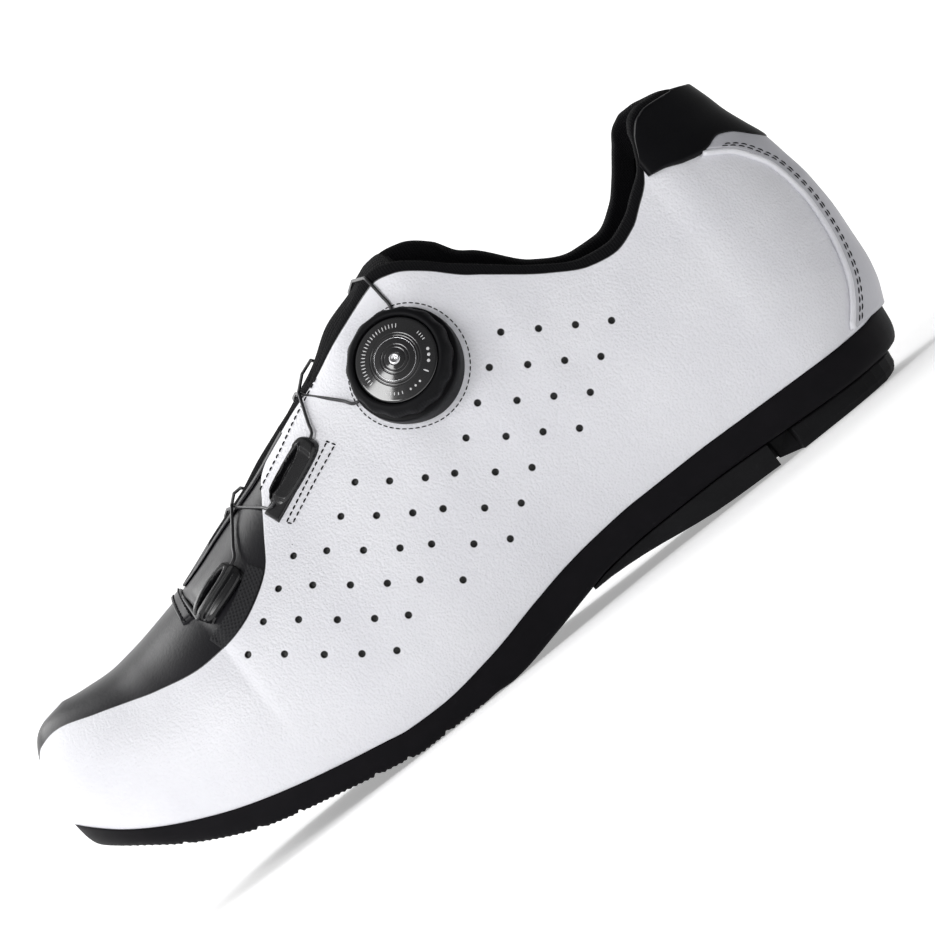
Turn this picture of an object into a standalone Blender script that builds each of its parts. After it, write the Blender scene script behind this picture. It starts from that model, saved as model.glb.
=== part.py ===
"""Left cycling shoe: a hollow lasted upper on a sprung sole, closed by a lace dial.

The toe points along -X, the lateral side faces -Y and +Z is up. The origin is on the floor under the
middle of the heel block. All sizes are in metres.

The upper is one function of two parameters. q runs round the foot, from -1 at the toe tip along the
lateral side to 0 at the heel and back along the medial side to +1. k runs up the wall, from 0 at the
feather line, where upper and sole meet, to 1 at the topline or, in front of the throat, the vamp ridge.
"""
import math

import bpy
import bmesh
import numpy as np
from mathutils import Vector
from mathutils.bvhtree import BVHTree

MM = 0.001

# The last
SHOE_LENGTH = 286.5 * MM
BALL_WIDTH = 96.0 * MM
HEEL_WIDTH = 63.0 * MM
TOP_HEIGHT = 120.2 * MM
HEEL_BULGE = 6.0 * MM
TOE_BULGE = 1.6 * MM
TOE_SETBACK = 18.0 * MM
HEEL_ROUND = 31.0 * MM
TOE_ROUND = 70.0 * MM

# The sole
BALL_STACK = 8.0 * MM
HEEL_STACK = 19.1 * MM
TOE_HEIGHT = 43.3 * MM
ARCH_RISE = 9.2 * MM
TOE_CLEARANCE = 35.3 * MM
SOLE_LIP = 1.2 * MM
SOLE_TUCK = 2.4 * MM
HEEL_TUCK = 4.0 * MM
BOTTOM_TUCK = 0.8 * MM
HEEL_BLOCK_LENGTH = 37.0 * MM
HEEL_FLAT_LENGTH = 31.0 * MM
MIDFOOT_BLOCK_LENGTH = 64.0 * MM
BLOCK_GAP = 8.5 * MM
BLOCK_INSET = 2.0 * MM
BLOCK_BEVEL = 1.6 * MM
NOSE_INSET = 5.0 * MM
NOSE_RISE = 0.22
HEEL_CHAMFER = 0.24
HEEL_OVERHANG = 11.5 * MM
THINNEST_BLOCK = 0.8 * MM
BEVEL_SHARE = 0.3

# Sheet thicknesses and clearances
WALL = 2.2 * MM
COLLAR_PAD = 3.0 * MM
PANEL_STEP = 0.8 * MM
COUNTER_THICKNESS = 1.1 * MM
PIPING_RISE = 0.7 * MM
PATCH_THICKNESS = 1.2 * MM
INSOLE_THICKNESS = 3.0 * MM
TONGUE_THICKNESS = 4.0 * MM
GAP = 0.3 * MM
SHEET_GAP = 0.4 * MM
TONGUE_SLACK = 0.7 * MM
TONGUE_DIVE = 2.0 * MM
COUNTER_FOOT = 0.9 * MM
COUNTER_HEAD_GAP = 1.0 * MM
HIGHEST_K = 0.985

# The dial
DIAL_RADIUS = 16.0 * MM
BASE_FLANGE = 0.9 * MM
BASE_HEIGHT = 3.4 * MM
BASE_RIM = 0.9 * MM
HUB_RADIUS = 12.8 * MM
DIAL_HEIGHT = 12.0 * MM
CAP_HEIGHT = 3.6 * MM
GRIP_RIB = 0.3 * MM
DIAL_ALONG = 0.429
DIAL_UP = 0.742
DIAL_TOE_TURN = math.radians(8.7)
DIAL_UP_TURN = math.radians(23.5)
DIAL_SIDES = 24
GRIP_SIDES = 48
SEAT_RINGS = (0.1, 0.4, 0.7, 1.0)
# Grip ring, from the hub out, up and back: share of the dial's radius, share of its height, ribbed or not
GRIP_PROFILE = ((0.95, 0.00, 0), (1.00, 0.343, 1), (0.985, 0.619, 1), (0.90, 1.00, 0))
# Cap: share of the hub's radius, share of the cap's height below the dial's top
CAP_PROFILE = ((1.00, 0.45), (0.40, 0.10), (0.14, 0.00))

# Lace and guides
LACE_RADIUS = 0.5 * MM
LACE_SLACK = 0.15 * MM
LACE_FIT = 0.08 * MM
LACE_LEAD = 1.2 * MM
CLEAR_STEP = 0.1 * MM
# Where the lace leaves the dial: upward part and part towards the toe of the way from the axis
DIAL_TOP_EXIT = (0.93, -0.36)
DIAL_TOE_EXIT = (0.25, 0.97)
CROSSING_STEP = 0.3 * MM
GUIDE_LENGTH = 22.5 * MM
GUIDE_WIDTH = 9.0 * MM
GUIDE_HEIGHT = 3.6 * MM
GUIDE_SLOT = 1.4 * MM
LOOP_LENGTH = 18.0 * MM
LOOP_WIDTH = 11.0 * MM
TOP_GUIDE_LENGTH = 17.0 * MM
SEAT_REACH = 20.0 * MM
SEAT_GAP = 0.7 * MM
GUIDE_SEAT_GAP = 0.8 * MM

# Guides by level: share along the foot, height as a share of the top height, slope, length, width, height
GUIDES = {
    "top": (0.462, 0.850, math.radians(24), TOP_GUIDE_LENGTH, GUIDE_WIDTH, GUIDE_HEIGHT),
    "upper": (0.590, 0.706, math.radians(23.5), GUIDE_LENGTH, GUIDE_WIDTH, GUIDE_HEIGHT),
    "lower": (0.730, 0.597, math.radians(20), LOOP_LENGTH, LOOP_WIDTH, GUIDE_HEIGHT),
}

# Places that follow from the sizes
LAST_LENGTH = SHOE_LENGTH - HEEL_BULGE - TOE_BULGE - 2 * PANEL_STEP - COUNTER_THICKNESS - SHEET_GAP
HEEL_X = HEEL_FLAT_LENGTH / 2 + HEEL_OVERHANG
UPPER_SPREAD = BALL_WIDTH - HEEL_WIDTH

# Sections of the last and the sole, from the heel (along 0) to the toe tip (along 1). "along" is a share
# of the last's length. The feather line's height is ball stack, plus heel_lift of the heel's extra stack,
# plus toe_lift of the toe's. heel_under and toe_under give the sole's lower edge in the same way, as
# shares of the arch rise and the toe clearance. spread is how far the width has grown from the heel's to
# the ball's, and swing the centre line's shift, as a share of the ball width.
SECTION_COLUMNS = ("along", "heel_lift", "toe_lift", "heel_under", "toe_under", "spread", "swing")
SECTIONS = (
    (0.000, 0.97, 0.000, 0.79, 0.000, 0.00, 0.000),
    (0.030, 0.86, 0.000, 0.70, 0.000, 0.00, 0.000),
    (0.055, 0.85, 0.000, 0.69, 0.000, 0.00, 0.000),
    (0.115, 0.89, 0.000, 0.76, 0.000, 0.00, -0.005),
    (0.185, 0.95, 0.000, 0.89, 0.000, 0.02, -0.010),
    (0.255, 1.00, 0.000, 0.99, 0.000, 0.03, -0.018),
    (0.330, 1.00, 0.000, 1.00, 0.000, 0.06, -0.028),
    (0.390, 0.91, 0.000, 0.90, 0.000, 0.16, -0.034),
    (0.430, 0.79, 0.000, 0.66, 0.000, 0.28, -0.034),
    (0.475, 0.58, 0.000, 0.36, 0.000, 0.46, -0.030),
    (0.550, 0.19, 0.000, 0.00, 0.000, 0.74, -0.022),
    (0.620, 0.00, 0.000, 0.00, 0.000, 0.92, -0.010),
    (0.660, 0.00, 0.010, 0.00, 0.000, 0.98, -0.004),
    (0.690, 0.00, 0.051, 0.00, 0.040, 1.00, 0.002),
    (0.760, 0.00, 0.160, 0.00, 0.153, 0.98, 0.014),
    (0.840, 0.00, 0.323, 0.00, 0.303, 0.94, 0.028),
    (0.910, 0.00, 0.538, 0.00, 0.541, 0.88, 0.038),
    (0.960, 0.00, 0.756, 0.00, 0.790, 0.84, 0.045),
    (1.000, 0.00, 1.000, 0.00, 1.000, 0.80, 0.052),
)

# The topline and the vamp ridge. Heights are shares of the top height; half_open is the half width of
# the collar and throat as a share of the heel width; edge is where the white side panel ends.
TOPLINE_COLUMNS = ("along", "lateral", "medial", "half_open", "edge")
TOPLINE = (
    (0.000, 0.860, 0.860, 0.38, 0.835),
    (0.020, 0.877, 0.877, 0.38, 0.850),
    (0.040, 0.883, 0.884, 0.38, 0.857),
    (0.060, 0.886, 0.890, 0.38, 0.857),
    (0.075, 0.878, 0.890, 0.39, 0.845),
    (0.090, 0.851, 0.880, 0.40, 0.823),
    (0.102, 0.803, 0.864, 0.41, 0.779),
    (0.115, 0.760, 0.832, 0.42, 0.737),
    (0.135, 0.727, 0.777, 0.44, 0.701),
    (0.155, 0.696, 0.730, 0.46, 0.669),
    (0.185, 0.674, 0.695, 0.48, 0.649),
    (0.215, 0.683, 0.699, 0.49, 0.661),
    (0.255, 0.734, 0.745, 0.49, 0.711),
    (0.295, 0.807, 0.846, 0.48, 0.779),
    (0.310, 0.836, 0.874, 0.475, 0.806),
    (0.325, 0.864, 0.926, 0.465, 0.832),
    (0.355, 0.926, 0.975, 0.44, 0.898),
    (0.380, 0.962, 0.986, 0.41, 0.937),
    (0.400, 0.973, 0.985, 0.37, 0.948),
    (0.415, 0.966, 0.976, 0.335, 0.940),
    (0.430, 0.950, 0.957, 0.305, 0.928),
    (0.475, 0.908, 0.914, 0.25, 0.889),
    (0.515, 0.862, 0.870, 0.205, 0.847),
    (0.550, 0.828, 0.836, 0.18, 0.822),
    (0.585, 0.795, 0.802, 0.16, 0.790),
    (0.620, 0.761, 0.767, 0.145, 0.745),
    (0.635, 0.748, 0.753, 0.14, 0.700),
    (0.655, 0.733, 0.737, 0.132, 0.635),
    (0.675, 0.718, 0.722, 0.125, 0.572),
    (0.700, 0.698, 0.702, 0.115, 0.531),
    (0.730, 0.672, 0.675, 0.100, 0.499),
    (0.750, 0.657, 0.658, 0.065, 0.487),
    (0.762, 0.649, 0.649, 0.000, 0.483),
    (0.790, 0.634, 0.634, 0.000, 0.479),
    (0.845, 0.610, 0.610, 0.000, 0.499),
    (0.875, 0.603, 0.603, 0.000, 0.518),
    (0.910, 0.608, 0.608, 0.000, 0.541),
    (0.965, 0.616, 0.616, 0.000, 0.569),
    (0.990, 0.617, 0.617, 0.000, 0.557),
    (0.996, 0.617, 0.617, 0.000, 0.533),
    (1.000, 0.617, 0.617, 0.000, 0.483),
)
THROAT_END = 0.762
TONGUE_END = 0.775
TONGUE_OPEN = 0.45

# The wall's cross-section is a cubic curve from the feather line to the top. bulge and shoulder are
# shares of the ball width, rise and drop shares of the wall's height: they place its two inner handles.
WALL_COLUMNS = ("along", "bulge", "rise", "shoulder", "drop")
WALL_FORM = (
    (0.000, 0.060, 0.38, 0.030, 0.34),
    (0.115, 0.060, 0.38, 0.045, 0.34),
    (0.255, 0.060, 0.37, 0.050, 0.34),
    (0.330, 0.070, 0.36, 0.085, 0.32),
    (0.390, 0.080, 0.36, 0.120, 0.29),
    (0.430, 0.088, 0.36, 0.150, 0.26),
    (0.475, 0.080, 0.38, 0.205, 0.21),
    (0.550, 0.070, 0.42, 0.250, 0.16),
    (0.620, 0.062, 0.46, 0.275, 0.12),
    (0.690, 0.060, 0.50, 0.285, 0.07),
    (0.762, 0.060, 0.52, 0.290, 0.00),
    (0.840, 0.055, 0.55, 0.255, 0.00),
    (0.910, 0.050, 0.57, 0.235, 0.00),
    (1.000, 0.040, 0.60, 0.220, 0.00),
)

# Profile of the heel's back and of the toe's front: set back by height, as shares of the heel bulge and
# of the toe setback, against the height as a share of the top height. Plus is away from the foot at the
# heel and towards the heel at the toe.
HEEL_PROFILE_COLUMNS = ("height", "out")
HEEL_PROFILE = (
    (0.15, 0.00), (0.22, 0.57), (0.27, 0.78), (0.33, 0.88), (0.42, 1.00), (0.50, 0.94),
    (0.58, 0.69), (0.64, 0.46), (0.69, 0.07), (0.75, -0.38), (0.80, -0.64), (0.87, -1.08),
)
TOE_PROFILE_COLUMNS = ("height", "back")
TOE_PROFILE = (
    (0.36, 0.00), (0.39, -0.067), (0.43, -0.085), (0.47, -0.035), (0.51, 0.055),
    (0.54, 0.13), (0.565, 0.22), (0.59, 0.36), (0.605, 0.55), (0.617, 1.00),
)
HEEL_FADE = 0.16
TOE_FADE = 0.13

# The counter's front edge on each side: how far in front of the heel feather it lies, as a share of the
# heel width, against the height as a share of the top height.
COUNTER_COLUMNS = ("height", "front")
COUNTER_EDGE = (
    (0.16, 0.18), (0.20, 0.115), (0.25, 0.055), (0.30, 0.02), (0.37, -0.01), (0.46, -0.025),
    (0.53, -0.015), (0.60, 0.015), (0.65, 0.065), (0.69, 0.16), (0.73, 0.30),
)

# The patch's lower edge by distance along the foot, from the tip at the heel to the collar's front
PATCH_COLUMNS = ("along", "lower")
PATCH_EDGE = (
    (0.000, 0.632), (0.006, 0.655), (0.016, 0.695), (0.030, 0.712), (0.045, 0.704),
    (0.070, 0.716), (0.090, 0.735), (0.108, 0.743),
)

# Bottom of the midfoot block, from its front edge (0) to its rear (1), as a share of the arch rise
MIDFOOT_COLUMNS = ("back", "bottom")
MIDFOOT_BOTTOM = ((0.0, 0.65), (0.06, 0.63), (0.22, 0.56), (0.37, 0.43), (0.52, 0.27), (0.68, 0.15), (1.0, 0.06))

# Crest of the tongue over the throat, as a share of the top height
TONGUE_COLUMNS = ("along", "crest")
TONGUE_CREST = (
    (0.375, 0.990), (0.388, 1.000), (0.405, 0.997), (0.430, 0.970), (0.475, 0.938), (0.515, 0.880), (0.550, 0.842),
    (0.585, 0.813), (0.620, 0.783), (0.655, 0.746), (0.700, 0.712), (0.730, 0.690),
)

STATIONS = (
    0.0, 0.003, 0.011, 0.023, 0.038, 0.055, 0.070, 0.083, 0.096, 0.108, 0.122, 0.140, 0.162, 0.19, 0.22,
    0.255, 0.29, 0.325, 0.355, 0.38, 0.40, 0.42, 0.445, 0.475, 0.515, 0.55, 0.585, 0.62, 0.638, 0.656,
    0.675, 0.70, 0.73, 0.75, THROAT_END, 0.79, 0.82, 0.85, 0.88, 0.91, 0.935, 0.955, 0.972, 0.985, 0.994, 1.0,
)
PANEL_ROWS = 7
TOP_ROWS = 4

WHITE = (0.80, 0.80, 0.84)
BLACK_LEATHER = (0.030, 0.029, 0.031)
BLACK_KNIT = (0.012, 0.012, 0.013)
SOLE_BLACK = (0.016, 0.015, 0.017)
BLOCK_BLACK = (0.022, 0.021, 0.022)
PLASTIC_BLACK = (0.010, 0.010, 0.011)
INSOLE_BLACK = (0.030, 0.030, 0.032)
LACE_GREY = (0.05, 0.05, 0.052)


def column(names, table, name):
    """One named column of a table, as an array."""
    return np.array([row[names.index(name)] for row in table], float)


def smooth(names, table, name, at):
    """Value of a named column at any place: a cubic through the rows that never swings past them."""
    x = column(names, table, names[0])
    y = column(names, table, name)
    at = np.clip(np.asarray(at, float), x[0], x[-1])
    step = np.diff(x)
    rise = np.diff(y) / step
    slope = np.zeros_like(y)
    same = rise[:-1] * rise[1:] > 0
    before, after = rise[:-1][same], rise[1:][same]
    heavy = (2 * step[1:] + step[:-1])[same]
    light = (step[1:] + 2 * step[:-1])[same]
    inner = np.zeros(len(rise) - 1)
    inner[same] = (heavy + light) / (heavy / before + light / after)
    slope[1:-1] = inner
    slope[0], slope[-1] = rise[0], rise[-1]
    i = np.clip(np.searchsorted(x, at, side="right") - 1, 0, len(step) - 1)
    u = (at - x[i]) / step[i]
    value = y[i] * (1 + 2 * u) * (1 - u) ** 2 + y[i + 1] * u * u * (3 - 2 * u)
    return value + step[i] * (slope[i] * u * (1 - u) ** 2 - slope[i + 1] * u * u * (1 - u))


def along(q):
    """Share of the last's length at q, with its change easing to nothing at heel and toe."""
    return (1 - np.cos(math.pi * np.abs(q))) / 2


def around(share):
    """The inverse of along: q on the medial side at a share of the length."""
    return np.arccos(1 - 2 * np.clip(share, 0, 1)) / math.pi


def round_ends(share):
    """Factor that closes the widths at heel and toe: a quarter ellipse at each end."""
    heel = np.clip(share * LAST_LENGTH / HEEL_ROUND, 0, 1)
    toe = np.clip((1 - share) * LAST_LENGTH / TOE_ROUND, 0, 1)
    return np.sqrt(1 - (1 - heel) ** 2) * np.sqrt(1 - (1 - toe) ** 2)


def carried_on(height, share):
    """A height along the foot, carried on past heel and toe along its last slope."""
    reach = 0.002
    inside = np.clip(share, 0, 1)
    near = np.clip(inside, reach, 1 - reach)
    slope = (height(near + reach) - height(near - reach)) / (2 * reach)
    return height(inside) + slope * (share - inside)


def feather_height(share):
    """Height of the line where upper and sole meet."""
    return carried_on(feather_inside, share)


def under_height(share):
    """Height of the sole unit's lower face."""
    return carried_on(under_inside, share)


def feather_inside(share):
    """Feather line between heel and toe: ball stack and the rises towards both ends."""
    heel = (HEEL_STACK - BALL_STACK) * smooth(SECTION_COLUMNS, SECTIONS, "heel_lift", share)
    toe = (TOE_HEIGHT - BALL_STACK) * smooth(SECTION_COLUMNS, SECTIONS, "toe_lift", share)
    return BALL_STACK + heel + toe


def under_inside(share):
    """Lower face between heel and toe: arch, flat forefoot and toe spring."""
    heel = ARCH_RISE * smooth(SECTION_COLUMNS, SECTIONS, "heel_under", share)
    toe = TOE_CLEARANCE * smooth(SECTION_COLUMNS, SECTIONS, "toe_under", share)
    return heel + toe


def half_width(share):
    """Half width of the feather line."""
    spread = smooth(SECTION_COLUMNS, SECTIONS, "spread", share)
    return (HEEL_WIDTH + UPPER_SPREAD * spread) / 2 * round_ends(share)


def centre_line(share):
    """Sideways place of the middle of the section."""
    return BALL_WIDTH * smooth(SECTION_COLUMNS, SECTIONS, "swing", share)


def top_height(q):
    """Height of the topline, or of the vamp ridge in front of the throat."""
    share = along(q)
    lateral = smooth(TOPLINE_COLUMNS, TOPLINE, "lateral", share)
    medial = smooth(TOPLINE_COLUMNS, TOPLINE, "medial", share)
    return TOP_HEIGHT * np.where(np.asarray(q) < 0, lateral, medial)


def end_shift(share, z):
    """How far along X a point moves for the rounded profiles of heel back and toe front."""
    level = z / TOP_HEIGHT
    heel = HEEL_BULGE * smooth(HEEL_PROFILE_COLUMNS, HEEL_PROFILE, "out", level)
    toe = TOE_SETBACK * smooth(TOE_PROFILE_COLUMNS, TOE_PROFILE, "back", level)
    heel_part = np.clip(1 - share / HEEL_FADE, 0, 1) ** 2
    toe_part = np.clip(1 - (1 - share) / TOE_FADE, 0, 1) ** 2
    return heel * heel_part + toe * toe_part


def last_point(q, k):
    """Point of the upper's outer form: a cubic wall section, closed round heel and toe."""
    q, k = np.broadcast_arrays(np.asarray(q, float), np.asarray(k, float))
    share = along(q)
    side = np.where(q < 0, -1.0, 1.0)
    low, high = feather_height(share), top_height(q)
    foot = half_width(share)
    ends = round_ends(share)
    opening = HEEL_WIDTH * smooth(TOPLINE_COLUMNS, TOPLINE, "half_open", share) * ends
    tall = high - low
    bulge = BALL_WIDTH * smooth(WALL_COLUMNS, WALL_FORM, "bulge", share) * ends
    shoulder = BALL_WIDTH * smooth(WALL_COLUMNS, WALL_FORM, "shoulder", share) * ends
    rise = smooth(WALL_COLUMNS, WALL_FORM, "rise", share)
    drop = smooth(WALL_COLUMNS, WALL_FORM, "drop", share)
    w0, w1, w2, w3 = (1 - k) ** 3, 3 * k * (1 - k) ** 2, 3 * k * k * (1 - k), k ** 3
    out = w0 * foot + w1 * (foot + bulge) + w2 * (opening + shoulder) + w3 * opening
    z = w0 * low + w1 * (low + rise * tall) + w2 * (high - drop * tall) + w3 * high
    x = HEEL_X - share * LAST_LENGTH + end_shift(share, z)
    y = centre_line(share) + side * out
    return np.stack([x, y, z], axis=-1)


def last_normal(q, k):
    """Outward direction at (q, k), from small steps of the form along both parameters."""
    q, k = np.broadcast_arrays(np.asarray(q, float), np.asarray(k, float))
    small = 1e-4
    sign = np.where(q < 0, -1.0, 1.0)
    size = np.abs(q)
    near_q = sign * np.clip(size - small, 0, 1)
    far_q = sign * np.clip(size + small, 0, 1)
    round_foot = (last_point(far_q, k) - last_point(near_q, k)) * sign[..., None]
    up = last_point(q, np.clip(k + small, 0, 1)) - last_point(q, np.clip(k - small, 0, 1))
    out = np.cross(round_foot, up)
    out /= np.maximum(np.linalg.norm(out, axis=-1, keepdims=True), 1e-12)
    middle = (along(q) <= 1e-9) | (along(q) >= 1 - 1e-9) | ((k >= 1 - 1e-9) & (along(q) >= THROAT_END - 1e-9))
    out[middle, 1] = 0.0
    return out / np.maximum(np.linalg.norm(out, axis=-1, keepdims=True), 1e-12)


def level_row(q, z):
    """The k at which the wall at q reaches height z."""
    low = np.zeros_like(np.asarray(q, float))
    high = np.ones_like(low)
    for _ in range(30):
        middle = (low + high) / 2
        below = last_point(q, middle)[..., 2] < z
        low = np.where(below, middle, low)
        high = np.where(below, high, middle)
    return (low + high) / 2


def panel_row(q):
    """The k at which the white side panel ends."""
    edge = TOP_HEIGHT * smooth(TOPLINE_COLUMNS, TOPLINE, "edge", along(q))
    return np.clip(level_row(q, edge), 0.2, HIGHEST_K)


def new_object(name, vertices, faces, colour, roughness, metallic=0.0):
    """A named object from vertices and faces, welded, with its own material."""
    mesh = bpy.data.meshes.new(name)
    bm = bmesh.new()
    made = [bm.verts.new(v) for v in vertices]
    for face in faces:
        corners = [made[i] for i in face]
        if bm.faces.get(corners) is None:
            bm.faces.new(corners)
    bmesh.ops.remove_doubles(bm, verts=bm.verts, dist=1e-6)
    bmesh.ops.recalc_face_normals(bm, faces=bm.faces)
    if bm.calc_volume(signed=True) < 0:
        bmesh.ops.reverse_faces(bm, faces=bm.faces)
    bm.to_mesh(mesh)
    bm.free()
    mesh.shade_smooth()
    mesh.set_sharp_from_angle(angle=math.radians(35))
    material = bpy.data.materials.new(name)
    material.use_nodes = True
    shader = material.node_tree.nodes["Principled BSDF"]
    shader.inputs["Base Color"].default_value = (*colour, 1.0)
    shader.inputs["Roughness"].default_value = roughness
    shader.inputs["Metallic"].default_value = metallic
    mesh.materials.append(material)
    made_object = bpy.data.objects.new(name, mesh)
    bpy.context.scene.collection.objects.link(made_object)
    return made_object


def grid_faces(rows, columns, start=0):
    """Quads of a grid whose vertices run row by row."""
    return [(start + r * columns + c, start + r * columns + c + 1,
             start + (r + 1) * columns + c + 1, start + (r + 1) * columns + c)
            for r in range(rows - 1) for c in range(columns - 1)]


def sheet(name, inner, outer, colour, roughness):
    """Closed solid between two grids of the same shape (rows, columns, 3)."""
    rows, columns, _ = inner.shape
    count = rows * columns
    vertices = np.concatenate([inner.reshape(-1, 3), outer.reshape(-1, 3)])
    faces = [tuple(reversed(f)) for f in grid_faces(rows, columns)] + grid_faces(rows, columns, count)
    border = ([c for c in range(columns)]
              + [r * columns + columns - 1 for r in range(1, rows)]
              + [(rows - 1) * columns + c for c in range(columns - 2, -1, -1)]
              + [r * columns for r in range(rows - 2, 0, -1)])
    for a, b in zip(border, border[1:] + border[:1]):
        faces.append((a, b, b + count, a + count))
    return new_object(name, vertices, faces, colour, roughness)


def loft(name, rings, colour, roughness, closed_ends=True):
    """Closed solid through rings of equal length; the first and last ring are capped."""
    count = len(rings[0])
    vertices = np.concatenate(rings)
    faces = []
    for i in range(len(rings) - 1):
        a, b = i * count, (i + 1) * count
        for j in range(count):
            n = (j + 1) % count
            faces.append((a + j, a + n, b + n, b + j))
    if closed_ends:
        faces.append(tuple(range(count)))
        faces.append(tuple(reversed(range((len(rings) - 1) * count, len(rings) * count))))
    return new_object(name, vertices, faces, colour, roughness)


def make_upper():
    """The hollow upper: outer form with its panel step, inner wall, top rim and bottom rim."""
    shares = np.array(STATIONS)
    q = np.concatenate([-around(shares)[::-1], around(shares)[1:]])
    edge = panel_row(q)
    over = edge + np.minimum(0.012, (1 - edge) / 3)
    panel = np.linspace(0, 1, PANEL_ROWS)[:, None] * edge[None, :]
    top = over[None, :] + np.linspace(0, 1, TOP_ROWS)[:, None] * (1 - over)[None, :]
    k = np.concatenate([panel, top])
    qs = np.broadcast_to(q, k.shape)
    normal = last_normal(qs, k)
    lift = np.zeros(k.shape)
    lift[:PANEL_ROWS] = PANEL_STEP
    outer = last_point(qs, k) + normal * lift[..., None]
    inner = last_point(qs, k) - normal * wall_thickness(qs, k)[..., None]
    for wall in (outer, inner):
        wall[0, :, 2] = feather_height(share_at(wall[0, :, 0]))
        weld_sides(wall, shares[::-1])
    rows, columns = k.shape
    count = rows * columns
    vertices = np.concatenate([outer.reshape(-1, 3), inner.reshape(-1, 3)])
    faces = grid_faces(rows, columns) + [tuple(reversed(f)) for f in grid_faces(rows, columns, count)]
    last_row = (rows - 1) * columns
    for c in range(columns - 1):
        faces.append((c + 1, c, c + count, c + 1 + count))
        if max(along(q[c]), along(q[c + 1])) <= THROAT_END + 1e-6:
            a, b = last_row + c, last_row + c + 1
            faces.append((a, b, b + count, a + count))
    return new_object("upper", vertices, faces, WHITE, 0.5)


def weld_sides(wall, shares_from_toe):
    """Make lateral and medial columns meet exactly along the vamp ridge and at the toe tip."""
    columns = wall.shape[1]
    ridge = [c for c, share in enumerate(shares_from_toe) if share >= THROAT_END - 1e-9]
    for c in ridge:
        meeting = (wall[-1, c] + wall[-1, columns - 1 - c]) / 2
        wall[-1, c] = wall[-1, columns - 1 - c] = meeting
    tip = (wall[:, 0] + wall[:, -1]) / 2
    wall[:, 0] = wall[:, -1] = tip


def wall_thickness(q, k):
    """Wall of the upper, thicker where the collar is padded below its topline."""
    share = along(q)
    ankle = np.clip(1 - (share - 0.30) / 0.12, 0, 1)
    ankle = ankle * ankle * (3 - 2 * ankle)
    high = np.clip((k - 0.45) / 0.35, 0, 1)
    high = high * high * (3 - 2 * high)
    return WALL + COLLAR_PAD * ankle * high


def outline(q, inset):
    """Plan of the feather line moved inwards by inset, as x and y."""
    share = along(q)
    x = HEEL_X - share * LAST_LENGTH
    side = np.where(q < 0, -1.0, 1.0)
    y = centre_line(share) + side * half_width(share)
    small = 1e-4
    size = np.abs(q)
    near, far = np.clip(size - small, 0, 1), np.clip(size + small, 0, 1)
    dx = -(along(far) - along(near)) * LAST_LENGTH
    dy = (centre_line(along(far)) - centre_line(along(near))
          + side * (half_width(along(far)) - half_width(along(near))))
    ends = (share < 1e-9) | (share > 1 - 1e-9)
    dx = np.where(ends, 0.0, dx)
    length = np.maximum(np.hypot(dx, dy), 1e-15)
    out_x, out_y = side * dy / length, -side * dx / length
    out_x = np.where(share < 1e-9, 1.0, np.where(share > 1 - 1e-9, -1.0, out_x))
    out_y = np.where(ends, 0.0, out_y)
    return x - out_x * inset, y - out_y * inset


def share_at(x):
    """Share of the last's length at a place along X."""
    return (HEEL_X - x) / LAST_LENGTH


def level_ring(share, insets, heights):
    """Ring of a lengthways loft: lateral points from top to bottom, then medial from bottom to top.

    heights are functions of the share of the length, one for each inset from top to bottom."""
    q = around(np.array([share]))
    lateral, medial = [], []
    for inset, height in zip(insets, heights):
        for points, sign in ((lateral, -1.0), (medial, 1.0)):
            x, y = outline(sign * np.maximum(q, 1e-9), inset)
            points.append((x[0], y[0], float(height(share_at(x)[0]))))
    return np.array(lateral + medial[::-1])


def make_outsole():
    """The sole unit: its edge leans in from the lip at the feather line to the tread face."""
    top = lambda s: feather_height(s) - GAP
    bottom = under_height
    middle = lambda s: bottom(s) + 0.42 * (top(s) - bottom(s))
    low = lambda s: bottom(s) + 0.10 * (top(s) - bottom(s))
    rings = []
    for share in STATIONS:
        heel_part = float(np.clip(1 - share / HEEL_FADE, 0, 1))
        tuck = SOLE_TUCK + (HEEL_TUCK - SOLE_TUCK) * heel_part
        insets = (-SOLE_LIP, -SOLE_LIP + 0.2 * tuck, -SOLE_LIP + 0.62 * tuck, -SOLE_LIP + tuck + BOTTOM_TUCK)
        rings.append(level_ring(share, insets, (top, middle, low, bottom)))
    return loft("outsole", rings, SOLE_BLACK, 0.55)


def make_insole():
    """The flat board that the foot stands on, just above the sole inside the wall."""
    inset = WALL + GAP
    top = lambda s: feather_height(s) + INSOLE_THICKNESS
    bottom = feather_height
    rings = [level_ring(share, (inset, inset), (top, bottom)) for share in STATIONS]
    return loft("insole", rings, INSOLE_BLACK, 0.9)


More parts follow.
